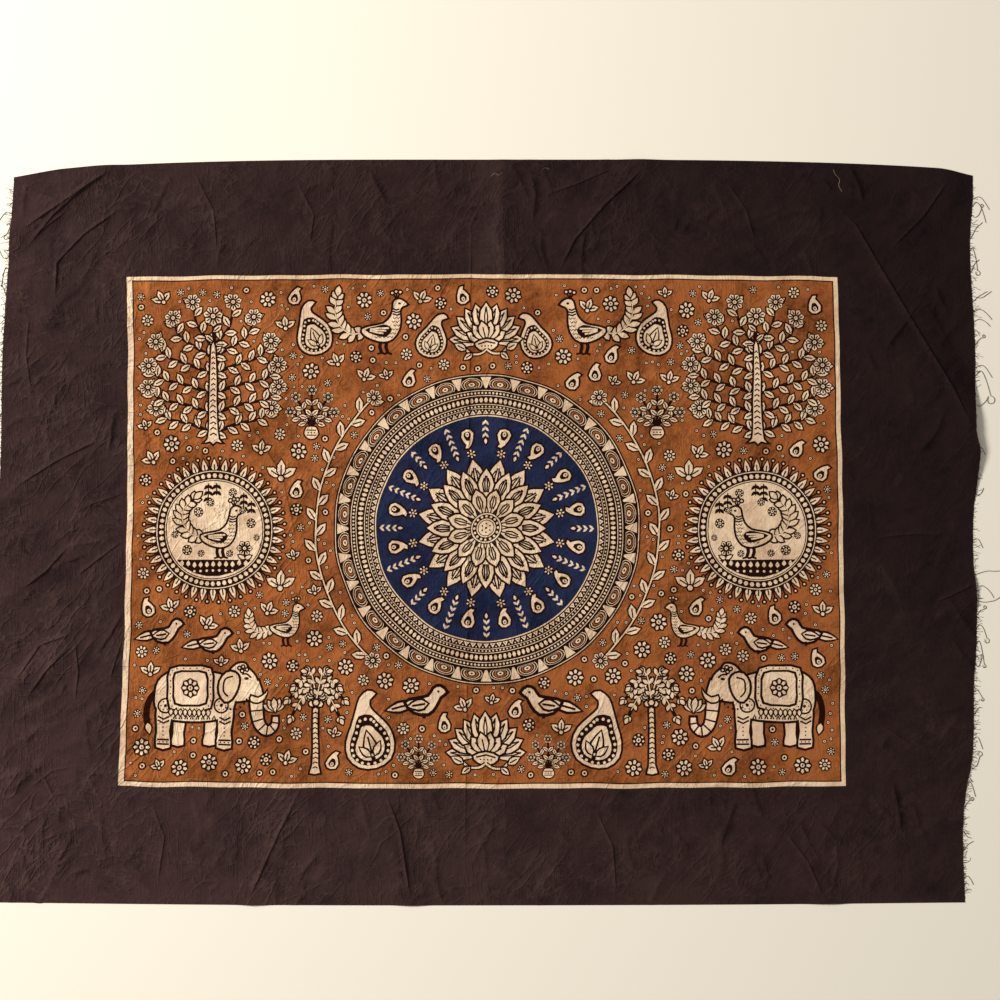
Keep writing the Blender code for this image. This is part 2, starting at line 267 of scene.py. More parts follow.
def paisley(pen, size=1.0):
    # A curled mango drop, about 70 mm tall at size 1, with a ring of dots round its leaves.
    pen = pen.at(0, 0, 0, size)
    drop = [(0, -30), (14, -26), (21, -14), (20, 0), (13, 12), (8, 20), (9, 27), (16, 31),
            (10, 35), (1, 31), (-5, 22), (-12, 10), (-20, -2), (-22, -15), (-14, -26)]
    belly = drop[:6] + drop[10:]
    inner = [(x * 0.66 - 0.2, (y + 8) * 0.62 - 10.5) for x, y in belly]
    pen.edged(curved(drop, 2), edge=1.2 / size)
    pen.fill(curved([(x * 0.86, (y + 6) * 0.84 - 7.2) for x, y in belly], 2), "line")
    for x, y in curved([(x * 0.76, (y + 7) * 0.73 - 9) for x, y in belly], 2):
        pen.fill(oval(x, y, 1.5, count=5))
    pen.fill(curved([(x * 0.92, (y + 8) * 0.92 - 8) for x, y in inner], 2))
    pen.leaf(0, -20, 0, 22, 10, belly=0.4, edge=0.9, rib=0.8)
    for side in (-1, 1):
        pen.leaf(side * 2, -19, side * -38, 12, 5, edge=0.8)
    pen.dot(0, -21.5, 2.2, 7)


def smallPaisley(pen, size=1.0):
    # The same drop, about 28 mm tall at size 1, with no more than an eye in it.
    drop = [(0, -11), (6, -9), (8, -3), (6, 3), (3.4, 7.5), (5.6, 11.4), (1.5, 12), (-2.5, 8), (-6, 2),
            (-8, -5), (-5, -9.6)]
    pen = pen.at(0, 0, 0, size)
    pen.edged(drop, edge=1.1)
    pen.fill([(x * 0.62, (y + 4) * 0.6 - 4.2) for x, y in drop[:5] + drop[7:]], "line")
    pen.fill(oval(0, -4.6, 2.4, 3.0, count=7))
    pen.fill(oval(0, -4.6, 1.0, 1.4, count=5), "line")


def lotusFan(pen, size=1.0):
    # A lotus seen from the side, about 97 mm wide and 75 mm high at size 1, on a stalk with two scrolls.
    pen = pen.at(0, 0, 0, size)
    for angle in (-84, 84, -66, 66, -48, 48, -31, 31, -15, 15, 0):
        long = 50 - abs(angle) * 0.05
        pen.leaf(0, -20, angle, long, 15, belly=0.66, steps=5, edge=1.15)
        for offset in (-1.9, 1.9):
            pen.at(0, -20, angle).stroke([(offset * 0.4, 14), (offset, long * 0.66), (0, long * 0.9)], 0.8)
    for angle in (-62, 62, -37, 37, -12, 12):
        pen.leaf(0, -20, angle, 27, 12, belly=0.62, steps=4, edge=1.1, rib=0.75)
    pen.edged(curved([(-14, -20), (0, -15), (14, -20), (9, -27), (0, -29), (-9, -27)], 2))
    pen.stroke([(-11, -21), (0, -18), (11, -21)], 0.9)
    for x in (-6, -2, 2, 6):
        pen.dot(x, -23.5, 1.1, 5)
    for side in (-1, 1):
        line = [(0, -28), (side * 8, -33), (side * 19, -33), (side * 26, -27)]
        pen.stroke(curved(line, 3, closed=False), 2.6, "line")
        pen.stroke(curved(line, 3, closed=False), 1.0, "cream")
        pen.leaf(side * 26, -28, side * -62, 15, 8, edge=1.0, rib=0.75)
        pen.leaf(side * 18, -33, side * -128, 12, 6.5, edge=1.0, rib=0.75)


# Animals

def plume(pen, line, pairs, longest, width, edge=1.0):
    # A curved quill with leaves on both sides, longest in the middle, and one at its tip.
    path = curved(line, 8, closed=False)
    pen.stroke(path, 2.0)
    for i in range(pairs):
        share = (i + 0.7) / pairs
        index = min(int(share * (len(path) - 1)), len(path) - 2)
        x, y = path[index]
        heading = math.degrees(math.atan2(path[index + 1][1] - y, path[index + 1][0] - x)) - 90
        grown = longest * (0.62 + 0.38 * math.sin(math.pi * min(share * 1.05, 1)))
        for side in (-1, 1):
            pen.leaf(x, y, heading + side * 42, grown, width, belly=0.55, edge=edge)
    x, y = path[-1]
    heading = math.degrees(math.atan2(y - path[-2][1], x - path[-2][0])) - 90
    pen.leaf(x, y, heading, longest * 0.8, width * 1.1, belly=0.5, edge=edge)
    pen.stroke(path[:-3], 0.8, "cream", thin=0.5)


def peacock(pen, tail, pairs=9):
    # Facing right, about 55 mm from beak to rump.
    plume(pen, tail, pairs, 15, 6.2)
    for x in (-3, 4):
        pen.stroke([(x, -9), (x - 1, -17), (x + 1, -24)], 2.0)
        pen.stroke([(x - 4, -25), (x + 1, -23.5), (x + 6, -25)], 1.2)
    body = [(27.5, 32.5), (22.5, 37.0), (17.5, 38.5), (13.0, 35.5), (11.6, 28), (8.6, 18), (0, 9.5), (-13, 7),
            (-24, 4), (-22, -2), (-12, -8), (0, -11), (10, -8), (17, 2), (19, 14), (18.6, 25), (22, 30)]
    pen.edged(curved(body, 2))
    pen.fill(oval(19, 33.6, 1.9, 1.5, count=6), "line")
    for y, half in ((26.5, 3.3), (23.5, 3.6), (20.5, 4.2)):
        pen.stroke([(14.6 - half, y + 0.8), (14.8, y - 0.8), (14.6 + half + 0.6, y + 0.4)], 0.9)
    wing = [(9, 3), (2, 8), (-9, 6), (-20, 3), (-9, -3), (3, -5)]
    pen.edged(curved(wing, 2), "line", 0.3)
    for offset in (0, 1, 2):
        feather = [(6 - offset * 3, 4.4 - offset * 3), (-6, 4.4 - offset * 2.6), (-15, 3.4 - offset * 0.8)]
        pen.stroke(feather, 0.9, "cream")
    scales = ((16.2, (12.6, 16.6)), (11.8, (11.2, 15.4)), (7.4, (13.0, 16.8)), (3.0, (11.6, 15.4)),
              (-1.6, (8.6, 12.6)), (-5.8, (-8.0, -3.6, 0.8, 5.2, 9.4)))
    for y, spots in scales:
        for x in spots:
            pen.stroke([(x - 1.7, y + 1.0), (x, y - 0.9), (x + 1.7, y + 1.0)], 0.5)
    for turn in (-28, 0, 28):
        crest = pen.at(16.6, 38.2, turn + 6)
        crest.stroke([(0, 0), (0, 8)], 0.9)
        crest.bead(0, 9.6, 1.5, 0.9)


def elephant(pen):
    # Facing right, about 150 mm long and 95 mm high, with a saddle cloth and a lotus in its trunk.
    tail = curved([(-44, 14), (-52, 6), (-55, -8), (-53, -22)], 3, closed=False)
    pen.stroke(tail, 3.2)
    pen.leaf(-53, -20, 190, 11, 6, edge=0.9)
    farLegs = [[(-25, -2), (-14, -2), (-16, -30), (-15, -41), (-27, -41), (-26, -30)],
               [(9, -2), (20, -2), (18, -30), (19, -41), (7, -41), (8, -30)]]
    pen.group([curved(leg, 2) for leg in farLegs])
    body = curved([(-47, 6), (-44, 24), (-30, 34), (-8, 36), (14, 33), (32, 26), (38, 8), (34, -8), (20, -15),
                   (-8, -17), (-32, -15), (-44, -6)], 3)
    nearLegs = [curved([(-44, 2), (-29, 2), (-31, -28), (-30, -44), (-44, -44), (-43, -28)], 2),
                curved([(21, 2), (36, 2), (34, -28), (35, -44), (21, -44), (22, -28)], 2)]
    head = curved([(30, 30), (37, 41), (46, 43), (50, 38), (58, 30), (61, 20), (57, 8), (46, 4), (34, 6)], 3)
    route = [(55, 22), (60, 10), (61, -6), (64, -20), (72, -27), (80, -22), (81, -13)]
    route = curved(route, 3, closed=False)
    last = len(route) - 1
    left, right = [], []
    for i, (x, y) in enumerate(route):
        before, after = route[max(i - 1, 0)], route[min(i + 1, last)]
        run = math.hypot(after[0] - before[0], after[1] - before[1])
        half = 7.5 - 5.0 * i / last        # the trunk thins towards its tip
        nx, ny = -(after[1] - before[1]) / run * half, (after[0] - before[0]) / run * half
        left.append((x + nx, y + ny))
        right.append((x - nx, y - ny))
    pen.group([body] + nearLegs + [head, left + right[::-1]])
    for i in range(4, last - 1, 2):
        pen.stroke([left[i], right[i]], 0.8)
    for x in (-37, 28.5):
        for y in (-41, -36.5):
            pen.stroke([(x - 6.3, y), (x + 6.3, y)], 0.9)
        for step in (-4, 0, 4):
            pen.dot(x + step, -38.8, 1.0, 4)
    size = 7.5
    for x, y in ((24, -1), (-36, -2)):
        circle = [(x + size * math.cos(a), y + size * math.sin(a)) for a in np.linspace(0, 2 * math.pi, 15)]
        pen.stroke(circle, 0.9)
        for angle in around(6):
            dotX, dotY = polar(angle, size * 0.62)
            pen.dot(x + dotX, y + dotY, 0.9, 4)
        pen.dot(x, y, 1.9, 6)
    for x in range(-27, 18, 6):
        pen.stroke([(x, -15.4), (x + 1.5, -11.5), (x + 3, -15.4)], 0.9)
    for x in (-37, 28):
        pen.stroke([(x - 6, -13), (x, -16), (x + 6, -13)], 0.9)
        pen.stroke([(x - 6, -17), (x, -20), (x + 6, -17)], 0.9)
        for y in (-24, -28, -32):
            pen.dot(x, y, 1.0, 4)
    cover = [(-31, 37), (-10, 39.4), (11, 37.4), (14, 18), (12, -3), (-10, -6), (-31, -4), (-33, 18)]
    pen.edged(curved(cover, 2))
    pen.fill(curved([(x * 0.84 - 1.4, (y - 17) * 0.84 + 17) for x, y in cover], 2), "line")
    pen.fill(curved([(x * 0.74 - 2.4, (y - 17) * 0.74 + 17) for x, y in cover], 2))
    for x, y in curved([(x * 0.92 - 0.7, (y - 17) * 0.92 + 17) for x, y in cover], 3):
        pen.dot(x, y, 1.0, 4)
    rosette(pen.at(-9.5, 17), 10.5)
    for x in range(-30, 14, 5):
        pen.leaf(x, -5.6, 180, 6.0, 3.4, edge=0.8, steps=3)
    ear = curved([(36, 33), (28, 33), (22, 24), (22, 12), (28, 3), (35, 6), (40, 16), (41, 27)], 2)
    pen.edged(ear)
    pen.stroke(curved([(35, 29), (27, 26), (26, 14), (31, 8)], 3, closed=False), 0.9)
    pen.fill(oval(49, 27, 2.6, 1.6, count=8), "line")
    pen.stroke(curved([(44, 31.5), (49, 31.8), (54, 28)], 3, closed=False), 0.9)
    pen.edged(curved([(55, 9), (62, 7), (70, 12), (72, 16), (69, 7), (62, 2.5), (55, 4)], 2), edge=0.9)
    for angle in range(-60, 61, 20):
        dotX, dotY = polar(angle - 78, 15)
        pen.dot(36 + dotX, 10 + dotY, 1.3, 5)
    for x, y in ((41, 38), (45, 39.5), (49, 36.5), (44, 34.8)):
        pen.bead(x, y, 1.1, 0.8)
    lotus = pen.at(81, -8, 8)
    for angle in (-50, 50, -25, 25, 0):
        lotus.leaf(0, 0, angle, 15, 6, belly=0.6, edge=0.9)


def bird(pen, size=1.0):
    # A small perching bird, facing right.
    pen = pen.at(0, 0, 0, size)
    pen.leaf(-9, 1, 104, 20, 6.5, edge=1.0, rib=0.8)
    body = [(17, 10), (12.5, 13.6), (8, 12), (4, 6), (-6, 4), (-13, 2), (-7, -5), (3, -6), (9, 0),
            (12.5, 6.5)]
    pen.edged(curved(body, 2))
    pen.dot(11.3, 10.2, 1.1, 5)
    pen.leaf(3, 1, 98, 15, 7, edge=0.9, rib=0.8)
    pen.stroke([(0, -6), (0, -10)], 1.2)


# Plants

def branchOf(pen, line, leaves, length, width):
    path = curved(line, 6, closed=False)
    pen.stroke(path, 2.6, thin=0.5)
    for i in range(leaves):
        index = min(int((i + 0.8) / leaves * (len(path) - 1)), len(path) - 2)
        x, y = path[index]
        heading = math.degrees(math.atan2(path[index + 1][1] - y, path[index + 1][0] - x)) - 90
        side = 1 if i % 2 else -1
        pen.leaf(x, y, heading + side * 50, length, width, belly=0.5, steps=3, edge=1.0, rib=0.75)
    return path[-1]


def floweringTree(pen, size=1.0):
    # A tree of paired branches, about 195 mm high and 200 mm wide at size 1, its roots at the origin.
    pen = pen.at(0, 0, 0, size)
    branches = ((22, 74, 22), (46, 84, 26), (72, 84, 28), (98, 74, 32), (120, 52, 40), (134, 26, 46))
    for side in (-1, 1):
        for lift, reach, up in branches:
            line = [(0, lift - 10), (side * reach * 0.4, lift + 2), (side * reach * 0.82, lift + up * 0.4),
                    (side * reach, lift + up)]
            end = branchOf(pen, line, round(3 + reach / 9), 15, 8)
            flower(pen.at(*end), 11.5)
    end = branchOf(pen, [(0, 110), (0, 130), (0, 148), (0, 162)], 5, 13, 6)
    flower(pen.at(*end), 13)
    trunk = [(-13, 0), (-7, 5), (-5, 30), (-4, 80), (-2, 124), (2, 124), (4, 80), (5, 30), (7, 5), (13, 0),
             (4, 2.5), (0, -1), (-4, 2.5)]
    pen.edged(curved(trunk, 2))
    for y in range(10, 118, 7):
        half = 4.6 - y * 0.024
        pen.stroke([(-half, y), (0, y + 2.6), (half, y)], 0.9)


def spray(pen, size=1.0):
    # A pot of five flowering stems, about 90 mm tall and 93 mm wide at size 1, its foot at the origin.
    pen = pen.at(0, 0, 0, size)
    for turn, long in ((-58, 46), (58, 46), (-30, 56), (30, 56), (0, 60)):
        stem = pen.at(turn * 0.08, 16, turn)
        stem.stroke([(0, 0), (turn * 0.05, long * 0.5), (0, long)], 2.0)
        for lift in (0.34, 0.62):
            for side in (-1, 1):
                stem.leaf(0, long * lift, side * 48, 14, 7.4, belly=0.5, steps=3, edge=1.0, rib=0.75)
        flower(stem.at(0, long + 2), 9.5, 6)
    pen.edged(curved([(-5, 0), (-11, 7), (-9, 14), (-6, 18), (6, 18), (9, 14), (11, 7), (5, 0)], 2))
    for y, half in ((5, 8), (13, 8)):
        pen.stroke([(-half, y), (half, y)], 0.9)
    for x in (-5, 0, 5):
        pen.dot(x, 9, 1.5, 5)


def palmTree(pen, high=92):
    # A palm with a ringed trunk, its roots at the origin.
    trunk = [(-6, 0), (-3.4, 10), (-2.6, high * 0.6), (-2.2, high), (2.2, high), (2.6, high * 0.6), (3.4, 10),
             (6, 0)]
    pen.edged(curved(trunk, 2))
    for y in range(6, high - 2, 6):
        pen.stroke([(-3, y), (0, y + 1.8), (3, y)], 0.8)
    for side in (-1, 1):
        for reach, up, drop in ((30, 4, -22), (34, 14, 0), (26, 24, 16), (12, 30, 34)):
            frond = [(0, high), (side * reach * 0.5, high + up), (side * reach, high + drop)]
            plume(pen, frond, 5, 10, 4.4, edge=0.9)
    for x in (-5, 5, 0):
        pen.bead(x, high - 3 - abs(x) * 0.3, 3.2, 1.0)


def vine(pen, radius, start, end, leaves):
    # A stem along a ring round the medallion, with leaves and a flower at each end.
    path = [(radius * math.sin(math.radians(a)), radius * math.cos(math.radians(a)))
            for a in np.linspace(start, end, 26)]
    pen.stroke(path, 2.6)
    for i in range(leaves):
        share = (i + 0.5) / leaves
        angle = start + (end - start) * share
        spot = outwards(pen, angle, radius)
        side = 1 if i % 2 else -1
        spot.leaf(0, side * 0.6, -52 if side > 0 else -128, 19, 9.5, belly=0.5, steps=3, edge=1.0, rib=0.75)
    pen.stroke(path, 0.8, "cream")
    for angle in (start, end):
        flower(outwards(pen, angle, radius), 11)


# Rings of the round medallions

def beadRing(pen, count, radius, deep, wide, turn=0.0):
    for angle in around(count, turn):
        outwards(pen, angle, radius).fill(oval(0, 0, wide, deep, count=6 if deep > 1.3 else 5))


def discs(pen, *rows, count=None):
    # Round grounds laid on one another, the largest first: radius and ink.
    for radius, ink in rows:
        pen.fill(oval(0, 0, radius, count=count or max(24, round(radius * 0.85))), ink)


def domeRing(pen, count, radius, wide, high):
    # Domes in nested lines on a dark ring, each with an eye, and a cream wedge between each two.
    for angle in around(count, 180 / count):
        spot = outwards(pen, angle, radius)
        for share, ink in ((1.0, "cream"), (0.93, "line"), (0.77, "cream"), (0.69, "line"), (0.57, "rust")):
            arch = [(wide * share * math.cos(a), high * (0.42 + share * 0.54 * math.sin(a)))
                    for a in np.linspace(-0.62, math.pi + 0.62, 12)]
            spot.fill([(x, max(y, 0)) for x, y in arch], ink)
        for share, ink in ((0.44, "line"), (0.31, "cream"), (0.13, "line")):
            spot.fill(oval(0, high * 0.42, wide * share, high * 0.54 * share, count=7), ink)
        outwards(pen, angle + 180 / count, radius).fill([(-6.4, high), (6.4, high), (1.2, 1.6), (-1.2, 1.6)])


def toothRing(pen, count, radius, wide, high):
    # Cream triangles on a dark band, with a dot between each two.
    for angle in around(count):
        spot = outwards(pen, angle, radius)
        spot.fill([(-wide / 2, 0), (wide / 2, 0), (0, high)])
        spot.dot(0, high * 0.3, wide * 0.13, 4)
        outwards(pen, angle + 180 / count, radius + high * 0.78).fill(oval(0, 0, wide * 0.14, count=5))


def mainMedallion(pen):
    discs(pen, (192.0, "line"), (190.2, "cream"), (189.2, "line"))
    domeRing(pen, 32, 171.4, 13.4, 15.8)
    discs(pen, (171.4, "line"), (170.3, "cream"), (169.4, "line"))
    beadRing(pen, 236, 166.6, 1.5, 1.4)
    discs(pen, (163.8, "cream"), (162.9, "line"))
    beadRing(pen, 168, 157.6, 3.3, 2.2)
    discs(pen, (152.6, "cream"), (151.7, "line"))
    beadRing(pen, 214, 149.4, 1.15, 1.25)
    discs(pen, (147.5, "cream"), (146.8, "line"))
    toothRing(pen, 112, 140.4, 6.9, 5.4)
    discs(pen, (140.2, "line"), (138.9, "cream"), (137.5, "line"), (136.6, "indigo"))
    indigoHeart(pen)


def indigoHeart(pen):
    # A full-blown lotus in the round, with leaf strings hanging in from the rim.
    for index, angle in enumerate(around(16)):
        leafChain(outwards(pen, angle, 132.0), 5 if index % 2 else 3)
    for angle in around(16, 11.25):
        smallPaisley(outwards(pen, angle, 113).at(0, 0, 180))
    for angle in around(16, 11.25):
        rosette(outwards(pen, angle, 93.5), 6.4, 6)
    for turn, out, long, wide, veins, foot, middle, tip in (
            (11.25, 20, 66, 22, (-5.4, -2.0, 2.0, 5.4), 34, 46, 58),
            (0, 16, 58, 19, (-4.4, -1.6, 1.6, 4.4), 28, 39, 51)):
        for angle in around(16, turn):
            petal = outwards(pen, angle, out)
            petal.leaf(0, 0, 0, long, wide, belly=0.62, steps=6, edge=1.2)
            for vein in veins:
                petal.stroke([(vein * 0.6, foot), (vein, middle), (vein * 0.5, tip - abs(vein))], 0.9)
    for angle in around(12, 15):
        petal = outwards(pen, angle, 14)
        petal.leaf(0, 0, 0, 34, 17, belly=0.6, steps=5, edge=1.15, rib=0.8)
        for vein in (-3.6, 3.6):
            petal.stroke([(vein * 0.5, 10), (vein, 18), (vein * 0.5, 26)], 0.9)
    discs(pen, (19.5, "line"), (18.2, "cream"), (16.6, "line"))
    beadRing(pen, 16, 14.2, 1.6, 1.7)
    discs(pen, (11.4, "cream"), (10.0, "line"), (9.0, "cream"))
    for angle in around(6):
        outwards(pen, angle, 5.2).dot(0, 0, 1.2, 5)
    pen.dot(0, 0, 1.5, 6)


def sunMedallion(pen):
    # A rayed disc with a bead ring, and a peacock among leaves on undyed cloth.
    for index, angle in enumerate(around(80)):
        spot = outwards(pen, angle, 71)
        if index % 2:
            spot.stroke([(0, 0), (0, 17)], 1.0)
            spot.bead(0, 18, 1.4, 1.0)
        else:
            spot.leaf(0, 0, 0, 17.5, 7.4, belly=0.34, steps=3, edge=1.0, rib=0.6)
    discs(pen, (74.6, "line"), (73.3, "cream"), (72.2, "line"), count=64)
    beadRing(pen, 58, 67.2, 3.0, 2.7)
    discs(pen, (62.6, "cream"), (61.6, "line"), (60.4, "cream"), count=56)
    for x, count in ((-8, 3), (2, 2), (36, 3), (46, 2)):
        top = math.sqrt(58.0**2 - x * x)
        pen.stroke([(x, top), (x, top - 7.6 * count)], 0.8)
        for i in range(count):
            leafPair(pen.at(x, top - 2 - 7.6 * i, 180), 8.5, 4.4, 44, ink="line")
    peacock(pen.at(8, -10), tail=[(-19, 2), (-36, 5), (-47, 18), (-46, 35), (-33, 48)], pairs=10)
    ground = [(-46.5, -36), (46.5, -36), (38, -45), (24, -53), (8, -57.5), (-8, -57.5), (-24, -53),
              (-38, -45)]
    pen.fill(ground, "line")
    for x in range(-40, 41, 8):
        pen.at(x, -44.5 - (2 if abs(x) < 30 else 0)).fill(leafShape(7.5, 5.2, steps=3, start=0.5))
    for x in range(-24, 25, 8):
        pen.fill(oval(x, -50.5, 1.7, count=6))
    flower(pen.at(38, -22), 9.5, 6)
    pen.stroke([(38, -30), (39, -36)], 1.4)
    leafPair(pen.at(38.5, -35), 9, 4.4, 62, 0.9)
    for x, y, size in ((-34, -24, 6.5), (22, 46, 5.5), (46, 8, 6), (-19, 22, 6), (-5, 34, 5), (35, 24, 4.5),
                       (-50, -6, 4.5), (-16, -28, 4.5), (20, -29, 4.5), (53, -9, 4)):
        ringRosette(pen.at(x, y), size)


# The whole panel

def frameShape(inset, extra=0.0):
    # The panel's outline moved in by its undyed band, with points close enough to bow with the cloth.
    left, right, top, bottom = (panelSizes[band] + extra if inset else 0
                                for band in ("bandLeft", "bandRight", "bandTop", "bandBottom"))
    x0, x1 = -panelSizes["halfWide"] + left, panelSizes["halfWide"] - right
    y0, y1 = -panelSizes["halfHigh"] + bottom, panelSizes["halfHigh"] - top
    points = []
    for (ax, ay), (bx, by), steps in (((x0, y0), (x1, y0), 74), ((x1, y0), (x1, y1), 52),
                                      ((x1, y1), (x0, y1), 74), ((x0, y1), (x0, y0), 52)):
        points += [(ax + (bx - ax) * i / steps, ay + (by - ay) * i / steps) for i in range(steps)]
    return points


# Where the round parts stand. The two halves mirror each other about a line a little right of the middle.
places = {"middle": (5.0, 0.3), "mirror": 2.0, "disc": (-338, -2)}


def drawPanel():
    pen = Pen()
    pen.fill(frameShape(False), "cream")
    pen.fill(frameShape(True), "line")
    pen.fill(frameShape(True, panelSizes["frameLine"]), "rust")
    firstMotif = len(shapes)
    mainMedallion(pen.at(*places["middle"]))
    for side in (-1, 1):
        half = pen.at(places["mirror"], 0, 0, 1, side)
        vine(half.at(3.0 * side, 0.3), 214, -41, -139, 20)
        sunMedallion(half.at(*places["disc"]))
        floweringTree(half.at(-340, 106), 0.98)
        spray(half.at(-216, 112), 0.76)
        paisley(half.at(-216, 246, 22), 1.0)
        peacock(half.at(-126, 243, 0, 1.08), [(-20, 2), (-36, -1), (-50, 8), (-57, 24), (-54, 42)])
        paisley(half.at(-64, 238, -12), 0.85)
        elephant(half.at(-352, -216, 0, 1.17))
        bird(half.at(-397, -131), 1.3)
        bird(half.at(-337, -141), 1.3)
        peacock(half.at(-246, -124, 0, 0.8), [(-20, 2), (-32, -4), (-46, -4), (-56, 6), (-59, 20)], pairs=8)
        palmTree(half.at(-207, -298), 88)
        paisley(half.at(-143, -250, 16), 1.4)
        bird(half.at(-74, -216), 1.6)
        spray(half.at(-80, -303), 0.6)
        sprig(half.at(-254, 70), 17)
        sprig(half.at(-254, -66), 17)
    lotusFan(pen.at(5, 250), 1.0)
    lotusFan(pen.at(5, -256), 1.05)
    scatter(firstMotif)


fillers = {
    "cell": 1.5,               # mm, of the grid that finds the bare field,
    "halfWide": panelSizes["halfWide"] - 9,     # and half the size of that grid
    "halfHigh": panelSizes["halfHigh"] - 8,
    # Radius, motifs to choose from, gap round them, and how many of the free places are used.
    "sizes": ((11.5, (rosette, sprig, mangoDrop), 3.0, 0.97), (8.4, (rosette, ringRosette, sprig), 2.4, 0.97),
              (5.2, (ringRosette, dotRing), 2.0, 0.9), (2.8, (dotRing,), 1.6, 0.85)),
    "tries": 8000, "seed": 5,
}


def takenCells(firstShape):
    # Which cells of the field are taken, from the shapes painted so far, on a grid of small cells.
    cell = fillers["cell"]
    wide, high = fillers["halfWide"], fillers["halfHigh"]
    columns, rows = int(2 * wide / cell), int(2 * high / cell)
    taken = np.zeros((columns, rows), bool)
    for points, faces, _ in shapes[firstShape:]:
        if len(faces) > 1:
            # A drawn line takes only the cells that its points are in.
            for x, y in points:
                i, j = int((x + wide) / cell), int((y + high) / cell)
                if 0 <= i < columns and 0 <= j < rows:
                    taken[i, j] = True
            continue
        spots = np.array(points)
        low = np.floor((spots.min(0) + (wide, high)) / cell).astype(int)
        top = np.ceil((spots.max(0) + (wide, high)) / cell).astype(int)
        (i0, j0), (i1, j1) = np.clip(low, 0, (columns, rows)), np.clip(top, 0, (columns, rows))
        if i1 <= i0 or j1 <= j0:
            continue
        x = -wide + (np.arange(i0, i1) + 0.5)[:, None] * cell
        y = -high + (np.arange(j0, j1) + 0.5)[None, :] * cell
        inside = np.zeros((i1 - i0, j1 - j0), bool)
        for (ax, ay), (bx, by) in zip(points, points[1:] + points[:1]):
            if ay != by:
                inside ^= ((ay > y) != (by > y)) & (x < (bx - ax) * (y - ay) / (by - ay) + ax)
        taken[i0:i1, j0:j1] |= inside
    return taken


def scatter(firstShape):
    # Rosettes, large ones first, wherever the field is bare.
    dice = random.Random(fillers["seed"])
    cell = fillers["cell"]
    taken = takenCells(firstShape)
    columns, rows = taken.shape
    for radius, motifs, gap, used in fillers["sizes"]:
        reach = int((radius + gap) / cell) + 1
        span = np.arange(-reach, reach + 1) * cell
        circle = span[:, None] ** 2 + span[None, :] ** 2 <= (radius + gap) ** 2
        for _ in range(fillers["tries"]):
            i, j = dice.randrange(reach, columns - reach), dice.randrange(reach, rows - reach)
            window = taken[i - reach:i + reach + 1, j - reach:j + reach + 1]
            if (window & circle).any():
                continue
            window |= circle
            if dice.random() > used:
                continue
            x, y = (i + 0.5) * cell - fillers["halfWide"], (j + 0.5) * cell - fillers["halfHigh"]
            dice.choice(motifs)(Pen().at(x, y, dice.uniform(-30, 30)), radius)


# The cloth's shape, in millimetres on the surface

# How far out each edge lies at places along it, with a smooth curve between: (along, out).
edgeStations = {
    "left": ((-459, -606.3), (-396, -610), (-214, -613.4), (-42, -615), (95, -613.4), (209, -614.2),
             (282, -611.6), (360, -607.8), (440, -604.8)),
    "right": ((-459, 575), (-372, 574), (-325, 579), (-282, 588), (-190, 592), (-150, 595.5), (-88, 597),
              (-45, 594.2), (15, 595.5), (50, 600), (93, 603.5), (118, 598.8), (219, 602.2), (350, 598.5),
              (407, 602.8), (442, 604.2)),
    "top": ((-604.8, 440), (-533, 451.8), (-310, 461), (-10, 462.5), (320, 461), (558, 452), (604.2, 442)),
    "bottom": ((-606.3, -459), (-300, -462), (-10, -462.5), (300, -461.5), (575, -459)),
}

clothSizes = {
    "thick": 0.4,              # mm, a light plain-woven cotton
    "cutStep": 3.0,            # mm between points along the two raw edges
    "cutRagged": 0.35,         # mm, how far they stray in and out
    "selvedgeStep": 6.5,       # mm between points along the top and bottom
    "gridStep": 8.0,           # mm between the points that fill the gaps
    "undersideStep": 20.0,     # mm on the underside where it lies flat,
    "undersideFoldStep": 7.0,  # and where it lifts
    "liftedFrom": 0.5,         # by more than this
    "gridCell": 2.8,           # mm, no point of the grid stands closer than this to another one
    "topMargin": 2.0,          # mm that points keep from the edges on top,
    "crestMargin": 3.0,        # those of a crest's line,
    "undersideMargin": 5.0,    # and those on the underside
    "topBox": (-625, 615, -470, 470),          # left, right, low and high of the grid on top,
    "undersideBox": (-620, 610, -465, 465),    # and on the underside
    "undersideLift": 0.94,     # how much of a fold's height the underside has,
    "undersideDrop": 0.7,      # mm, less this, so that low folds lie on the floor
    "slopeReach": 0.35,        # mm each way over which the surface's slope is taken
    "straightWithin": 0.06,    # mm that a point may stray from a run before the run counts as bent
}

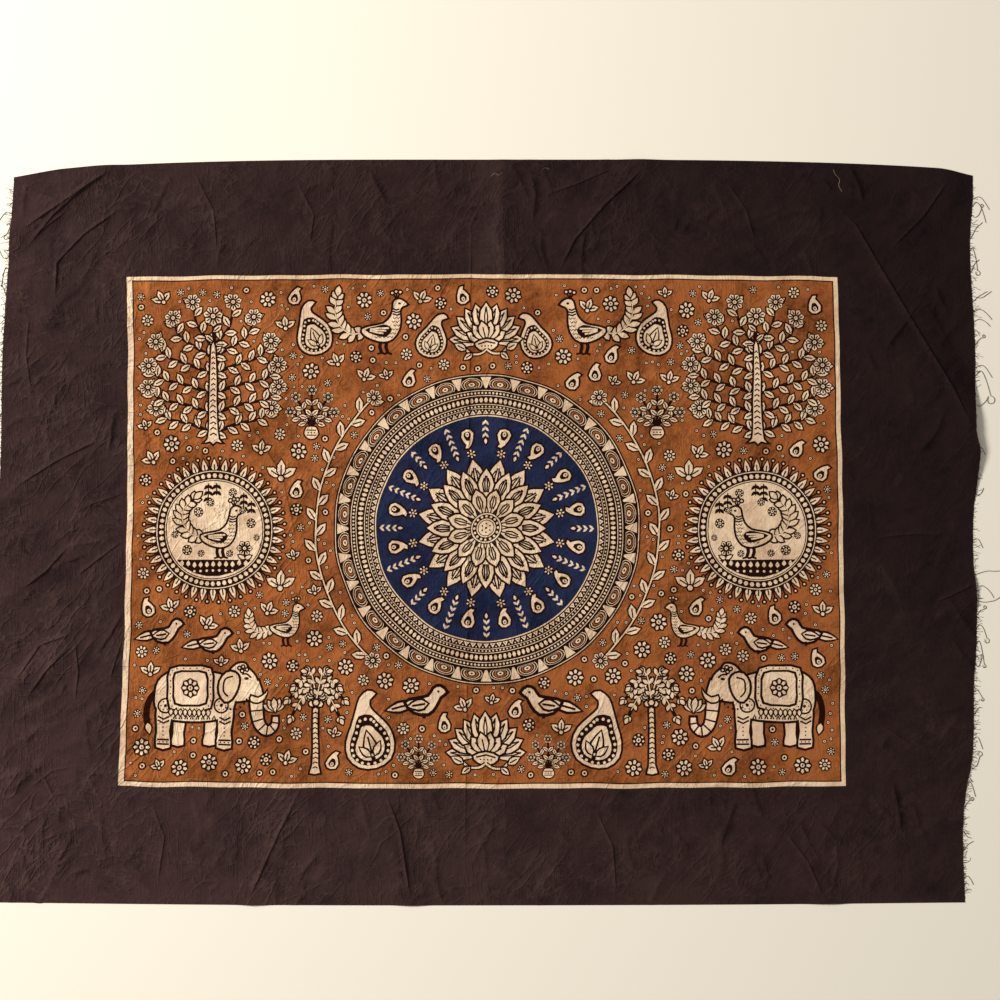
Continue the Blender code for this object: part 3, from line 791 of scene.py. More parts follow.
# Folds that lift the cloth, as ridges: from, to, bow to the left, height, left and right flank in mm, and
# the share of the length over which the ridge rises and sinks.
folds = (
    (420, 425, 634, 42, 13, 8.5, 34, 90, 0.75, 0.18),
    (590, 452, 494, 335, 4, 3.4, 40, 30, 0.25, 0.50),
    (650, -60, 530, -108, 0, 2.6, 30, 36, 0.30, 0.50),
    (470, -15, 590, -11, 3, 2.0, 28, 28, 0.45, 0.45),
    (12, 478, 16, 170, 0, 1.2, 26, 20, 0.10, 0.60),
    (215, 480, 78, 312, -12, 3.0, 26, 34, 0.20, 0.45),
    (165, 462, 50, 410, 4, 1.8, 24, 24, 0.30, 0.50),
    (-455, 480, -650, 327, 0, 3.6, 26, 32, 0.20, 0.20),
    (-480, 410, -560, 318, 6, 2.4, 24, 26, 0.40, 0.40),
    (-550, 330, -572, 150, 0, 2.4, 28, 30, 0.30, 0.40),
    (-470, 118, -640, 22, 4, 3.0, 28, 26, 0.35, 0.20),
    (-462, 0, -640, -116, -4, 2.8, 26, 28, 0.35, 0.20),
    (-500, -122, -640, -240, 8, 3.4, 28, 32, 0.35, 0.20),
    (-460, -130, -482, -215, 0, 1.8, 22, 26, 0.45, 0.45),
    (-560, -260, -470, -405, 6, 2.2, 30, 30, 0.45, 0.45),
    (-232, -318, -300, -475, 0, 2.2, 28, 28, 0.45, 0.10),
    (-135, -318, -94, -475, -6, 2.4, 30, 26, 0.45, 0.10),
    (330, -360, 420, -478, 4, 2.0, 30, 30, 0.45, 0.10),
)

# Sharp creases, placed one by one along the folds and between them: height, gentle flank, points. The
# gentle flank faces left, and the other one is steep.
creases = (
    (2.3, 8, ((424, 413), (455, 379), (479, 334), (534, 235), (570, 172), (603, 103))),
    (1.5, 6, ((575, 439), (539, 388), (498, 347))),
    (1.1, 4.5, ((-27, 460), (-29, 300), (-31, 60), (-32, -120), (-34, -330), (-35, -460))),
    (2.1, 40, ((8, 470), (11, 390), (13, 260), (14, 60))),
    (1.8, 6, ((195, 456), (140, 404), (102, 360), (80, 315))),
    (1.4, 5.5, ((153, 452), (104, 430), (65, 417))),
    (2.4, 8, ((-478, 452), (-534, 412), (-596, 369))),
    (1.7, 6, ((-497, 443), (-552, 392), (-589, 347))),
    (1.2, 5, ((-540, 394), (-583, 360))),
    (1.9, 6, ((-464, 404), (-514, 366), (-548, 330), (-549, 277))),
    (1.4, 7, ((-581, 271), (-584, 215), (-575, 157))),
    (2.1, 7, ((-484, 110), (-540, 82), (-595, 47))),
    (1.2, 5, ((-458, 41), (-513, 22))),
    (1.6, 6, ((-457, -17), (-490, -42), (-518, -64))),
    (2.1, 7, ((-525, -24), (-552, -56), (-583, -79))),
    (2.0, 7, ((-517, -132), (-559, -147), (-589, -193))),
    (1.6, 6, ((-516, -144), (-548, -176), (-574, -212))),
    (1.4, 5.5, ((-516, -138), (-511, -180), (-515, -218))),
    (1.2, 5, ((-458, -141), (-472, -190))),
    (1.1, 4.5, ((-575, -290), (-548, -312), (-530, -350))),
    (1.0, 4.5, ((-566, -320), (-540, -300), (-518, -296))),
    (1.0, 4.5, ((-556, -352), (-538, -330), (-517, -326))),
    (1.7, 6, ((-133, -324), (-114, -373), (-100, -460))),
    (1.7, 6, ((-237, -327), (-261, -373), (-300, -460))),
    (1.3, 6, ((355, -372), (384, -410), (402, -452))),
    (1.5, 6, ((473, -15), (520, -10), (566, -11))),
    (1.7, 6, ((596, -71), (546, -95))),
    (1.2, 5.5, ((-380, 452), (-352, 396), (-346, 330))),
    (1.1, 5.5, ((-250, 440), (-226, 392), (-232, 345))),
    (1.2, 5.5, ((290, 440), (318, 398), (330, 352))),
    (1.2, 5.5, ((-420, -335), (-402, -380), (-410, -440))),
    (1.2, 5.5, ((120, -335), (146, -392), (150, -452))),
    (1.0, 5.5, ((470, -240), (512, -268), (560, -280))),
    (1.1, 7, ((-420, 250), (-330, 172), (-262, 60), (-240, -40))),
    (0.9, 7, ((250, 290), (298, 190), (306, 90))),
    (0.9, 7, ((-300, -120), (-228, -190), (-204, -300))),
    (0.9, 7, ((120, -180), (196, -230), (300, -250))),
)

# Small crinkles, sown over each part of the cloth: left, right, low, high, count, heading, spread in degrees.
crinkles = {
    "parts": (
        (-600, -466, -450, 450, 165, 42, 60),
        (-455, 425, 322, 452, 100, 70, 60),
        (-455, 560, -452, -325, 95, 105, 60),
        (440, 592, -440, 430, 45, 60, 70),
        (-452, 424, -312, 306, 120, 60, 90),
    ),
    "shortest": 18, "longest": 80, "lowest": 0.3, "highest": 1.15, "narrowest": 5, "widest": 12,
    "bend": 0.18,              # how far their middle stands out, as a share of half their length
    "turnedRound": 0.3,        # share that has its steep flank on the left
    "seed": 21,
}
steepShare = 0.3               # width of a crease's steep flank as a share of the gentle one's
creaseEnd = 0.22               # share of its length over which a crease rises, and sinks again
flankPower = 1.4               # how hollow the flanks are; 1 is straight
crossShare = 0.4               # how much of the lower one is added where a crease meets another


def hermite(stations, along):
    # How far out an edge lies at a place along it.
    index = 0
    while index < len(stations) - 2 and along > stations[index + 1][0]:
        index += 1

    def slopeAt(i):
        before, after = stations[max(i - 1, 0)], stations[min(i + 1, len(stations) - 1)]
        return (after[1] - before[1]) / (after[0] - before[0])

    (a, outA), (b, outB) = stations[index], stations[index + 1]
    t = min(max((along - a) / (b - a), 0.0), 1.0)
    return ((2 * t**3 - 3 * t**2 + 1) * outA + (t**3 - 2 * t**2 + t) * slopeAt(index) * (b - a)
            + (3 * t**2 - 2 * t**3) * outB + (t**3 - t**2) * slopeAt(index + 1) * (b - a))


def clothOutline():
    # Counter-clockwise from the lower left corner; the two cut edges are a little ragged.
    dice = random.Random(8)
    outline = []
    for side, backwards in (("bottom", False), ("right", False), ("top", True), ("left", True)):
        stations = edgeStations[side]
        low, high = stations[0][0], stations[-1][0]
        cut = side in ("left", "right")
        steps = round((high - low) / (clothSizes["cutStep"] if cut else clothSizes["selvedgeStep"]))
        for i in range(steps):
            share = 1 - i / steps if backwards else i / steps
            along = low + (high - low) * share
            out = hermite(stations, along)
            if cut and i:
                out += dice.uniform(-1, 1) * clothSizes["cutRagged"]
            outline.append((out, along) if cut else (along, out))
    return outline


def ease(t):
    t = np.clip(t, 0.0, 1.0)
    return t * t * (3 - 2 * t)


def foldLift(x, y):
    # Height of the broad folds, the same as the solid's.
    total = np.zeros_like(x)
    for startX, startY, endX, endY, bow, height, leftFlank, rightFlank, rise, sink in folds:
        runX, runY = endX - startX, endY - startY
        length = math.hypot(runX, runY)
        runX, runY = runX / length, runY / length
        along = ((x - startX) * runX + (y - startY) * runY) / length
        across = (y - startY) * runX - (x - startX) * runY - 4 * bow * along * (1 - along)
        flank = np.where(across > 0, leftFlank, rightFlank)
        lift = height * 0.5 * (1 + np.cos(math.pi * np.clip(np.abs(across) / flank, 0, 1)))
        lift = np.where((along > 0) & (along < 1), lift, 0.0)
        if rise:
            lift *= ease(along / rise)
        if sink:
            lift *= ease((1 - along) / sink)
        total += lift**2
    return np.sqrt(total)


def creaseLift(x, y):
    # Height of the sharp creases and crinkles that stand on the folds.
    total = np.zeros_like(x)
    for height, flank, points, gentle in allCreases:
        spots = np.array(points, float)
        low, high = spots.min(0) - flank, spots.max(0) + flank
        near = np.nonzero((x > low[0]) & (x < high[0]) & (y > low[1]) & (y < high[1]))[0]
        if not len(near):
            continue
        px, py = x[near], y[near]
        runs = np.hypot(*(spots[1:] - spots[:-1]).T)
        whole, gone = runs.sum(), 0.0
        best, lift = np.full(len(near), 1e9), np.zeros(len(near))
        for (ax, ay), (bx, by), run in zip(spots, spots[1:], runs):
            t = np.clip(((px - ax) * (bx - ax) + (py - ay) * (by - ay)) / run**2, 0, 1)
            away = np.hypot(px - ax - t * (bx - ax), py - ay - t * (by - ay))
            leftOf = (bx - ax) * (py - ay) - (by - ay) * (px - ax) > 0
            reach = np.where(leftOf == gentle, flank, flank * steepShare)
            share = (gone + t * run) / whole
            shape = height * np.clip(1 - away / reach, 0, 1) ** flankPower
            shape = shape * ease(share / creaseEnd) * ease((1 - share) / creaseEnd)
            lift = np.where(away < best, shape, lift)
            best = np.minimum(best, away)
            gone += run
        total[near] = np.maximum(total[near], lift) + crossShare * np.minimum(total[near], lift)
    return total


def sowCrinkles():
    dice = random.Random(crinkles["seed"])
    sown = []
    for left, right, low, high, count, heading, spread in crinkles["parts"]:
        for _ in range(count):
            x, y = dice.uniform(left, right), dice.uniform(low, high)
            turn = math.radians(heading + dice.uniform(-spread, spread))
            half = 0.5 * dice.uniform(crinkles["shortest"], crinkles["longest"])
            bend = dice.uniform(-crinkles["bend"], crinkles["bend"]) * half
            dx, dy = math.cos(turn) * half, math.sin(turn) * half
            sown.append((
                dice.uniform(crinkles["lowest"], crinkles["highest"]),
                dice.uniform(crinkles["narrowest"], crinkles["widest"]),
                ((x - dx, y - dy), (x - dy / half * bend, y + dx / half * bend), (x + dx, y + dy)),
                (dy > 0) == (dice.random() > crinkles["turnedRound"]),
            ))
    return sown


# Height, gentle flank, points, and whether the gentle flank is left of the way that the points run.
allCreases = [(height, flank, points, points[-1][1] > points[0][1]) for height, flank, points in creases]
allCreases += sowCrinkles()

# The rows of points that the mesh gets along the creases, and then along the crinkles: which ones, the step,
# the least distance to the points that are there before, and how far out the rows beside the crest lie, as
# shares of the flanks.
pointRows = (
    (allCreases[:len(creases)], 3.5, 0.8, (0.12, 0.4, 1.0)),
    (allCreases[len(creases):], 6.0, 1.6, (0.5,)),
)


def topHeight(x, y):
    return foldLift(x, y) + creaseLift(x, y) + clothSizes["thick"]


# The cloth's mesh

# How the panel lies on the cloth, in mm: from the cloth's middle to the panel's, how far its two sides bow to
# the right and its top and bottom outwards, and how far a hand-drawn line wanders.
panelOnCloth = {
    "shiftX": -14.5, "shiftY": -3, "bowLeft": 5.5, "bowRight": 2.0, "bowUp": 3,
    "wobble": 0.55, "fineWobble": 0.35,
}


def ontoCloth(points):
    # From the panel's straight millimetres to the cloth's, with the bow of the weave and the hand's wobble.
    x, y = np.array(points, float).T
    s, t = x / panelSizes["halfWide"], y / panelSizes["halfHigh"]
    lay = panelOnCloth
    bowX = np.where(s < 0, lay["bowLeft"] * -s, lay["bowRight"] * s) * (1 - t**2)
    bowY = lay["bowUp"] * t * (1 - s**2)
    large, fine = lay["wobble"], lay["fineWobble"]
    wobbleX = large * np.sin(x / 17 + 1.3 * np.sin(y / 29)) + fine * np.sin(y / 11 + x / 37)
    wobbleY = large * np.sin(y / 19 + 1.1 * np.sin(x / 23)) + fine * np.sin(x / 13 - y / 31)
    return np.column_stack((x + lay["shiftX"] + bowX + wobbleX, y + lay["shiftY"] + bowY + wobbleY))


def densified(points, step):
    # Points at even steps along a line of straight runs.
    spots = np.array(points, float)
    result = []
    for a, b in zip(spots, spots[1:]):
        count = max(1, round(np.hypot(*(b - a)) / step))
        result += [tuple(a + (b - a) * i / count) for i in range(count)]
    return result + [tuple(spots[-1])]


def insideCloth(spots, margin):
    # Which spots lie inside the four edges by more than the margin.
    keep = np.ones(len(spots), bool)
    for side, axis, sign in (("left", 0, -1), ("right", 0, 1), ("top", 1, 1), ("bottom", 1, -1)):
        stations = edgeStations[side]
        alongs = np.linspace(stations[0][0], stations[-1][0], 400)
        outs = np.array([hermite(stations, along) for along in alongs])
        edge = np.interp(spots[:, 1 - axis], alongs, outs)
        keep &= sign * spots[:, axis] < sign * edge - margin
    return keep


class CellMap:
    # Remembers which small square cells already hold a point.

    def __init__(self, cell):
        self.cell, self.cells = cell, set()

    def add(self, spots):
        for i, j in np.floor(np.asarray(spots) / self.cell).astype(int):
            self.cells.add((i, j))

    def free(self, x, y):
        i, j = math.floor(x / self.cell), math.floor(y / self.cell)
        return all((i + a, j + b) not in self.cells for a in (-1, 0, 1) for b in (-1, 0, 1))


def hexGrid(step, left, right, low, high):
    # A grid of equal triangles, whose rows lie 0.866 steps apart.
    spots = []
    rows = int((high - low) / (step * 0.866))
    for row in range(rows + 1):
        y = low + row * step * 0.866
        count = int((right - left) / step)
        spots += [(left + (i + 0.5 * (row % 2)) * step, y) for i in range(count + 1)]
    return spots


def rowsAlong(points, step, aside):
    # Points along a line and at the given distances to its sides.
    path = np.array(densified(points, step))
    run = np.gradient(path, axis=0)
    run /= np.hypot(*run.T)[:, None]
    normal = np.column_stack((-run[:, 1], run[:, 0]))
    return [path + normal * distance for distance in aside]


def fillerPoints(printed):
    # Points that carry the folds and creases between those of the print, and the crests as lines.
    filled, crests = [], []
    for group, step, cell, shares in pointRows:
        near = CellMap(cell)
        near.add(printed)
        near.add(filled)
        for _, flank, points, gentle in group:
            wide = flank if gentle else -flank
            gentleSide = [wide * share for share in shares]
            steepSide = [-wide * steepShare * share for share in shares]
            rows = rowsAlong(points, step, [0.0] + gentleSide + steepSide)
            for row in rows:
                filled += [tuple(spot) for spot in row if near.free(*spot)]
            crest = rows[0]
            inside = insideCloth(crest, clothSizes["crestMargin"])
            free = inside & np.array([near.free(*spot) for spot in crest])
            both = free[:-1] & free[1:]
            crests += [(tuple(a), tuple(b)) for a, b, kept in zip(crest, crest[1:], both) if kept]
    near = CellMap(clothSizes["gridCell"])
    near.add(printed)
    near.add(filled)
    grid = hexGrid(clothSizes["gridStep"], *clothSizes["topBox"])
    filled = np.array(filled + [spot for spot in grid if near.free(*spot)])
    return filled[insideCloth(filled, clothSizes["topMargin"])], crests


def leftwards(spots, triangles):
    # All triangles counter-clockwise.
    a, b, c = (spots[triangles[:, i]] for i in range(3))
    area = (b[:, 0] - a[:, 0]) * (c[:, 1] - a[:, 1]) - (b[:, 1] - a[:, 1]) * (c[:, 0] - a[:, 0])
    triangles[area < 0] = triangles[area < 0][:, ::-1]
    return triangles


def inkLines(points, faces, faceInks):
    # Lays every shape over those before it, and keeps only the lines where two inks meet: start, end, and
    # the inks left and right of them. Outside the cloth the ink is -1.
    given = [Vector(point) for point in points]
    for merged in (0.005, 0.008, 0.003, 0.012):        # mm within which points become one
        spots, _, triangles, origPoints, _, over = delaunay_2d_cdt(given, [], faces, 0, merged, True)
        # A shape whose outline the merging broke would flood the sheet and what lies outside it.
        if all(0 in numbers for numbers in over if numbers):
            break
    spots = np.array([tuple(spot) for spot in spots])
    triangles = leftwards(spots, np.array(triangles))
    ink = np.array([faceInks[max(numbers)] if 0 in numbers else -1 for numbers in over])
    count = len(spots)
    start, end = triangles.ravel(), np.roll(triangles, -1, axis=1).ravel()
    left = np.repeat(ink, 3)
    order = np.argsort(start * count + end)
    keys = (start * count + end)[order]
    back = end * count + start
    found = np.minimum(np.searchsorted(keys, back), len(keys) - 1)
    right = np.where(keys[found] == back, left[order[found]], -1)
    meet = (start < end) & (left != right)
    lines, touching = {}, {}
    for line in zip(start[meet].tolist(), end[meet].tolist(), left[meet].tolist(), right[meet].tolist()):
        lines[line[:2]] = line
        touching.setdefault(line[0], set()).add(line[:2])
        touching.setdefault(line[1], set()).add(line[:2])
    straighten(spots, lines, touching)
    whereIs = {original: index for index, originals in enumerate(origPoints) for original in originals}
    return spots, list(lines.values()), whereIs


def straighten(spots, lines, touching):
    # Leaves out the points in the middle of straight runs.
    for middle in list(touching):
        if len(touching[middle]) != 2:
            continue
        before, after = (lines[key] for key in touching[middle])
        if -1 in before + after[2:]:
            continue
        a = before if before[1] == middle else (before[1], before[0], before[3], before[2])
        b = after if after[0] == middle else (after[1], after[0], after[3], after[2])
        if a[2:] != b[2:] or a[0] == b[1] or (a[0], b[1]) in lines or (b[1], a[0]) in lines:
            continue
        (ax, ay), (mx, my), (bx, by) = spots[a[0]], spots[middle], spots[b[1]]
        run = math.hypot(bx - ax, by - ay)
        twice = abs((bx - ax) * (my - ay) - (by - ay) * (mx - ax))
        if run < tiny or twice / run > clothSizes["straightWithin"]:
            continue
        for line in (before, after):
            del lines[line[:2]]
            for spot in line[:2]:
                touching[spot].discard(line[:2])
        whole = (a[0], b[1], a[2], a[3])
        lines[whole[:2]] = whole
        touching[a[0]].add(whole[:2])
        touching[b[1]].add(whole[:2])


def patches(neighbours):
    # Numbers the patches of triangles that hang together.
    patch = [-1] * len(neighbours)
    count = 0
    for first in range(len(neighbours)):
        if patch[first] >= 0:
            continue
        patch[first] = count
        waiting = [first]
        while waiting:
            for other in neighbours[waiting.pop()]:
                if other >= 0 and patch[other] < 0:
                    patch[other] = count
                    waiting.append(other)
        count += 1
    return np.array(patch)


def inkedTriangles(points, faces, faceInks, between, crests=()):
    # Points, triangles and inks of a sheet whose triangles follow the ink lines, the crests and the points
    # between them. The first face is the sheet's own outline, and rim is where its points have gone.
    spots, lines, whereIs = inkLines(points, faces, faceInks)
    used = sorted({spot for line in lines for spot in line[:2]})
    place = {spot: index for index, spot in enumerate(used)}
    given = [Vector(spots[spot]) for spot in used] + [Vector(spot) for spot in between]
    ends = [(place[line[0]], place[line[1]]) for line in lines]
    inkEnds = len(ends)
    for crest in crests:
        ends.append((len(given), len(given) + 1))
        given += [Vector(spot) for spot in crest]
    merged = 0.001          # mm within which points become one
    final, sides, triangles, origPoints, origLines, _ = delaunay_2d_cdt(given, ends, [], 0, merged, True)
    final = np.array([tuple(spot) for spot in final])
    triangles = leftwards(final, np.array(triangles))
    count = len(final)
    known = {}
    for (p, q), originals in zip(sides, origLines):
        originals = [original for original in originals if original < inkEnds]
        if originals:
            (a, b), (left, right) = ends[originals[0]], lines[originals[0]][2:]
            if (final[q] - final[p]) @ (np.array(given[b]) - np.array(given[a])) < 0:
                left, right = right, left
            known[p * count + q], known[q * count + p] = left, right
    start, end = triangles.ravel(), np.roll(triangles, -1, axis=1).ravel()
    keys = start * count + end
    sideInks = np.array([known.get(key, -2) for key in keys.tolist()]).reshape(-1, 3)
    order = np.argsort(keys)
    back = end * count + start
    found = np.minimum(np.searchsorted(keys[order], back), len(keys) - 1)
    neighbours = np.where(keys[order][found] == back, order[found] // 3, -1).reshape(-1, 3)
    neighbours[sideInks != -2] = -1
    patch = patches(neighbours.tolist())
    # Each patch between ink lines takes the ink that most of its border speaks for, by length.
    lengths = np.hypot(*(final[end] - final[start]).T).reshape(-1, 3)
    votes = np.zeros((patch.max() + 1, len(inks) + 1))
    for side in range(3):
        told = sideInks[:, side] != -2
        np.add.at(votes, (patch[told], sideInks[told, side] + 1), lengths[told, side])
    label = votes.argmax(axis=1)[patch] - 1
    kept = label >= 0
    gone = {original: index for index, originals in enumerate(origPoints) for original in originals}
    rim = [gone[place[whereIs[i]]] for i in range(len(faces[0]))]
    used = np.unique(triangles[kept])
    renumbered = np.full(count, -1)
    renumbered[used] = np.arange(len(used))
    return final[used], renumbered[triangles[kept]], label[kept], [int(renumbered[spot]) for spot in rim]


def slopes(height, x, y):
    reach = clothSizes["slopeReach"]
    return ((height(x + reach, y) - height(x - reach, y)) / (2 * reach),
            (height(x, y + reach) - height(x, y - reach)) / (2 * reach))


def sheetPlan(outline, drawn):
    # The sheet's outline and the drawn shapes as points, faces and each face's ink.
    points, faces, faceInks = list(outline), [list(range(len(outline)))], [inks.index("ground")]
    for shape, shapeFaces, ink in drawn:
        start = len(points)
        points += [tuple(point) for point in ontoCloth(shape)]
        faces += [[start + i for i in face] for face in shapeFaces]
        faceInks += [inks.index(ink)] * len(shapeFaces)
    return points, faces, faceInks


def undersidePoints():
    # A wide grid where the cloth lies flat and a close one where it lifts.
    spots = []
    for step, lifted in ((clothSizes["undersideStep"], False), (clothSizes["undersideFoldStep"], True)):
        grid = np.array(hexGrid(step, *clothSizes["undersideBox"]))
        grid = grid[insideCloth(grid, clothSizes["undersideMargin"])]
        spots += list(grid[(foldLift(*grid.T) > clothSizes["liftedFrom"]) == lifted])
    return spots


def wallTriangles(topRim, backRim):
    # The strip that joins the two sides along the cloth's edges.
    walls = []
    for i in range(len(topRim)):
        j = (i + 1) % len(topRim)
        a, b, c, d = topRim[i], topRim[j], backRim[j], backRim[i]
        walls += [(d, c, b), (d, b, a)]
    return np.array(walls)


def smoothCorners(spots, top, back, triangles, walls):
    # Smooth normals from the folds themselves, so that the print's triangles don't show in the light.
    slopeX, slopeY = slopes(topHeight, *top.T)
    topNormals = np.column_stack((-slopeX, -slopeY, np.ones(len(top))))
    slopeX, slopeY = slopes(foldLift, *back.T)
    backNormals = np.column_stack((slopeX, slopeY, -np.ones(len(back))))
    normals = np.vstack((topNormals, backNormals))
    normals /= np.linalg.norm(normals, axis=1)[:, None]
    corners = normals[triangles.ravel()]
    a, b, c = (spots[walls[:, i]] for i in range(3))
    wallNormals = np.cross(b - a, c - a)
    wallNormals /= np.linalg.norm(wallNormals, axis=1)[:, None] + tinyArea
    corners[-3 * len(walls):] = np.repeat(wallNormals, 3, axis=0)
    return corners


# The sheet's flat map: its box in mm, the share of the map's height that the top takes, and above that where
# the underside starts and what it takes.
sheetMap = {"left": -618, "wide": 1226, "low": -464, "high": 928, "top": 0.86, "start": 0.865,
            "underside": 0.13}


def mapSheet(mesh, spots, triangles, topCount, backCount):
    # Lays the top and the underside out flat beside each other.
    flat = spots[triangles.ravel()]
    across = (flat[:, 0] - sheetMap["left"]) / sheetMap["wide"]
    up = (flat[:, 1] - sheetMap["low"]) / sheetMap["high"]
    under = slice(3 * topCount, 3 * (topCount + backCount))
    uv = np.column_stack((across, up * sheetMap["top"]))
    uv[under, 1] = sheetMap["start"] + up[under] * sheetMap["underside"]
    layer = mesh.uv_layers.new(name="OFBake")
    layer.data.foreach_set("uv", uv.ravel())


def makeCloth():
    outline = clothOutline()
    plan = sheetPlan(outline, shapes)
    top, topTriangles, topInks, topRim = inkedTriangles(*plan, *fillerPoints(np.array(plan[0])))
    print("top of the cloth:", len(topTriangles), "triangles")
    plan = sheetPlan(outline, soakedThrough())
    back, backTriangles, backInks, backRim = inkedTriangles(*plan, undersidePoints())
    print("underside:", len(backTriangles), "triangles")

    backZ = foldLift(*back.T) * clothSizes["undersideLift"] - clothSizes["undersideDrop"]
    spots = np.vstack((np.column_stack((top, topHeight(*top.T))),
                       np.column_stack((back, np.maximum(backZ, 0.0)))))
    shift = len(top)
    walls = wallTriangles(topRim, [shift + spot for spot in backRim])
    triangles = np.vstack((topTriangles, backTriangles[:, ::-1] + shift, walls))

    mesh = bpy.data.meshes.new("printedCloth")
    mesh.vertices.add(len(spots))
    mesh.vertices.foreach_set("co", (spots * mm).ravel())
    mesh.loops.add(triangles.size)
    mesh.loops.foreach_set("vertex_index", triangles.ravel())
    mesh.polygons.add(len(triangles))
    mesh.polygons.foreach_set("loop_start", np.arange(0, triangles.size, 3))
    wallInks = np.full(len(walls), inks.index("ground"))
    mesh.polygons.foreach_set("material_index", np.concatenate((topInks, backInks + len(inks), wallInks)))
    mesh.update(calc_edges=True)
    mesh.polygons.foreach_set("use_smooth", np.ones(len(triangles), bool))
    mesh.normals_split_custom_set(smoothCorners(spots, top, back, triangles, walls).tolist())
    mapSheet(mesh, spots, triangles, len(topTriangles), len(backTriangles))
    creased = mesh.attributes.new("creased", "FLOAT", "POINT")
    creased.data.foreach_set("value", np.concatenate((creaseLift(*top.T), np.zeros(len(back)))))
    for part in ("top", "underside"):
        for ink in inks:
            mesh.materials.append(cottonMaterial(ink, part))
    cloth = bpy.data.objects.new("printedCloth", mesh)
    scene.collection.objects.link(cloth)
    return cloth


def soakedThrough():
    # The underside needs no more of the print than its broad parts.
    pen = Pen()
    before = len(shapes)
    pen.fill(frameShape(False), "cream")
    pen.fill(frameShape(True), "rust")
    discs(pen.at(*places["middle"]), (190, "cream"), (173, "line"), (139, "cream"), (136.6, "indigo"),
          (84, "cream"), count=48)
    for side in (-1, 1):
        half = pen.at(places["mirror"], 0, 0, 1, side)
        discs(half.at(*places["disc"]), (74, "line"), (62, "cream"), count=32)
    found = shapes[before:]
    del shapes[before:]
    return found


# Dyes and cloth surface

clothFinishes = {
    # Matt cotton in five dyes: deep and light are the ends of a dye's unevenness, and worn and lit is its
    # colour on creases, partly worn dye and partly a painted highlight where their crests catch the light.
    "ground": {"deep": "#201516", "light": "#322220", "wornAndLit": "#57423B", "name": "iron-black dyed cotton"},
    "cream": {"deep": "#BF9470", "light": "#F0D0AB", "wornAndLit": "#F7E2C0", "name": "washed undyed cotton"},
    "rust": {"deep": "#3C1503", "light": "#A65E30", "wornAndLit": "#C2834A", "name": "madder and alum dyed cotton"},
    "indigo": {"deep": "#0D1122", "light": "#252A46", "wornAndLit": "#3A4770", "name": "brushed indigo cotton"},
    "line": {"deep": "#110502", "light": "#270F07", "wornAndLit": "#46281B", "name": "iron ink drawn on cotton"},
}

surfaceSizes = {
    "weavePitch": 0.9,         # mm between threads, drawn twice as coarse as the real weave
    "weaveDepth": 0.10,        # mm
    "rumpleDepth": 1.1,        # mm, of the fine rumpling that the mesh doesn't hold
    "wearAndHighlightShare": 0.08,         # how far a crease 1 mm high turns to the worn colour and painted highlight, how much of that wear and painted highlight the crests of the finest wrinkles have
    "crestWearAndHighlight": 1.1,          # how much of that wear the finest wrinkles have
    "soaked": 0.16,            # how much of the undyed cotton shows through on the underside
    "leftRumple": 1.75,        # how strong the rumpling is at the left edge,
    "rightRumple": 0.55,       # and at the right one
    "sheenLeast": 0.55,          # painted sheen: brightness of the dark ground at the upper right corner, where it is dimmest, and at the lower left one, where it is brightest
    "sheenMost": 1.55,          # and at the lower left one, which has seen more sun
    "middleTone": 0.92,         # brightness half-way up, and at the upper and lower edges
    "endTone": 1.12,            # and at the upper and lower edges
    "stripHighlight": 0.30,          # how much brighter the painted highlight makes the strip where the old fold's slope faces the light, mm from the cloth's middle to the strip's, leftwards, mm from the strip's middle as far as it is at its brightest, and as far as it reaches
    "stripLeft": 10,            # mm from the cloth's middle to the strip's, leftwards,
    "stripFull": 17,            # mm from the strip's middle as far as it is at its brightest,
    "stripGone": 26,            # and as far as it reaches
}

wrinkles = (
    # Fine wrinkles in the surface only: angle in radians, how much longer than wide, how many a metre, height
    # as a share of the rumple depth, and patches a metre.
    {"angle": 0.90, "longer": 3.5, "perMetre": 50, "height": 0.52, "patches": 9},
    {"angle": -0.35, "longer": 2.6, "perMetre": 60, "height": 0.42, "patches": 13},
    {"angle": 1.68, "longer": 4.5, "perMetre": 90, "height": 0.28, "patches": 15},
    {"angle": 0.35, "longer": 1.6, "perMetre": 48, "height": 0.38, "patches": 11},
    {"angle": 1.15, "longer": 2.2, "perMetre": 120, "height": 0.20, "patches": 21},
)


def colour(code):
    # From the sRGB code of a colour picker to the linear values that the renderer wants.
    parts = [int(code[i:i + 2], 16) / 255 for i in (1, 3, 5)]
    return tuple(p / 12.92 if p <= 0.04045 else ((p + 0.055) / 1.055) ** 2.4 for p in parts) + (1.0,)


def addNode(tree, kind, inputs=None, **settings):
    # One node with its settings. An input is a value, a socket, or a node whose first output feeds it.
    node = tree.nodes.new(kind)
    for name, value in settings.items():
        setattr(node, name, value)
    for key, value in (inputs or {}).items():
        socket = node.inputs[key] if isinstance(key, int) else next(
            s for s in node.inputs if s.name == key and s.enabled)
        if isinstance(value, bpy.types.Node):
            value = next(s for s in value.outputs if s.enabled)
        if isinstance(value, bpy.types.NodeSocket):
            tree.links.new(value, socket)
        else:
            socket.default_value = value
    return node


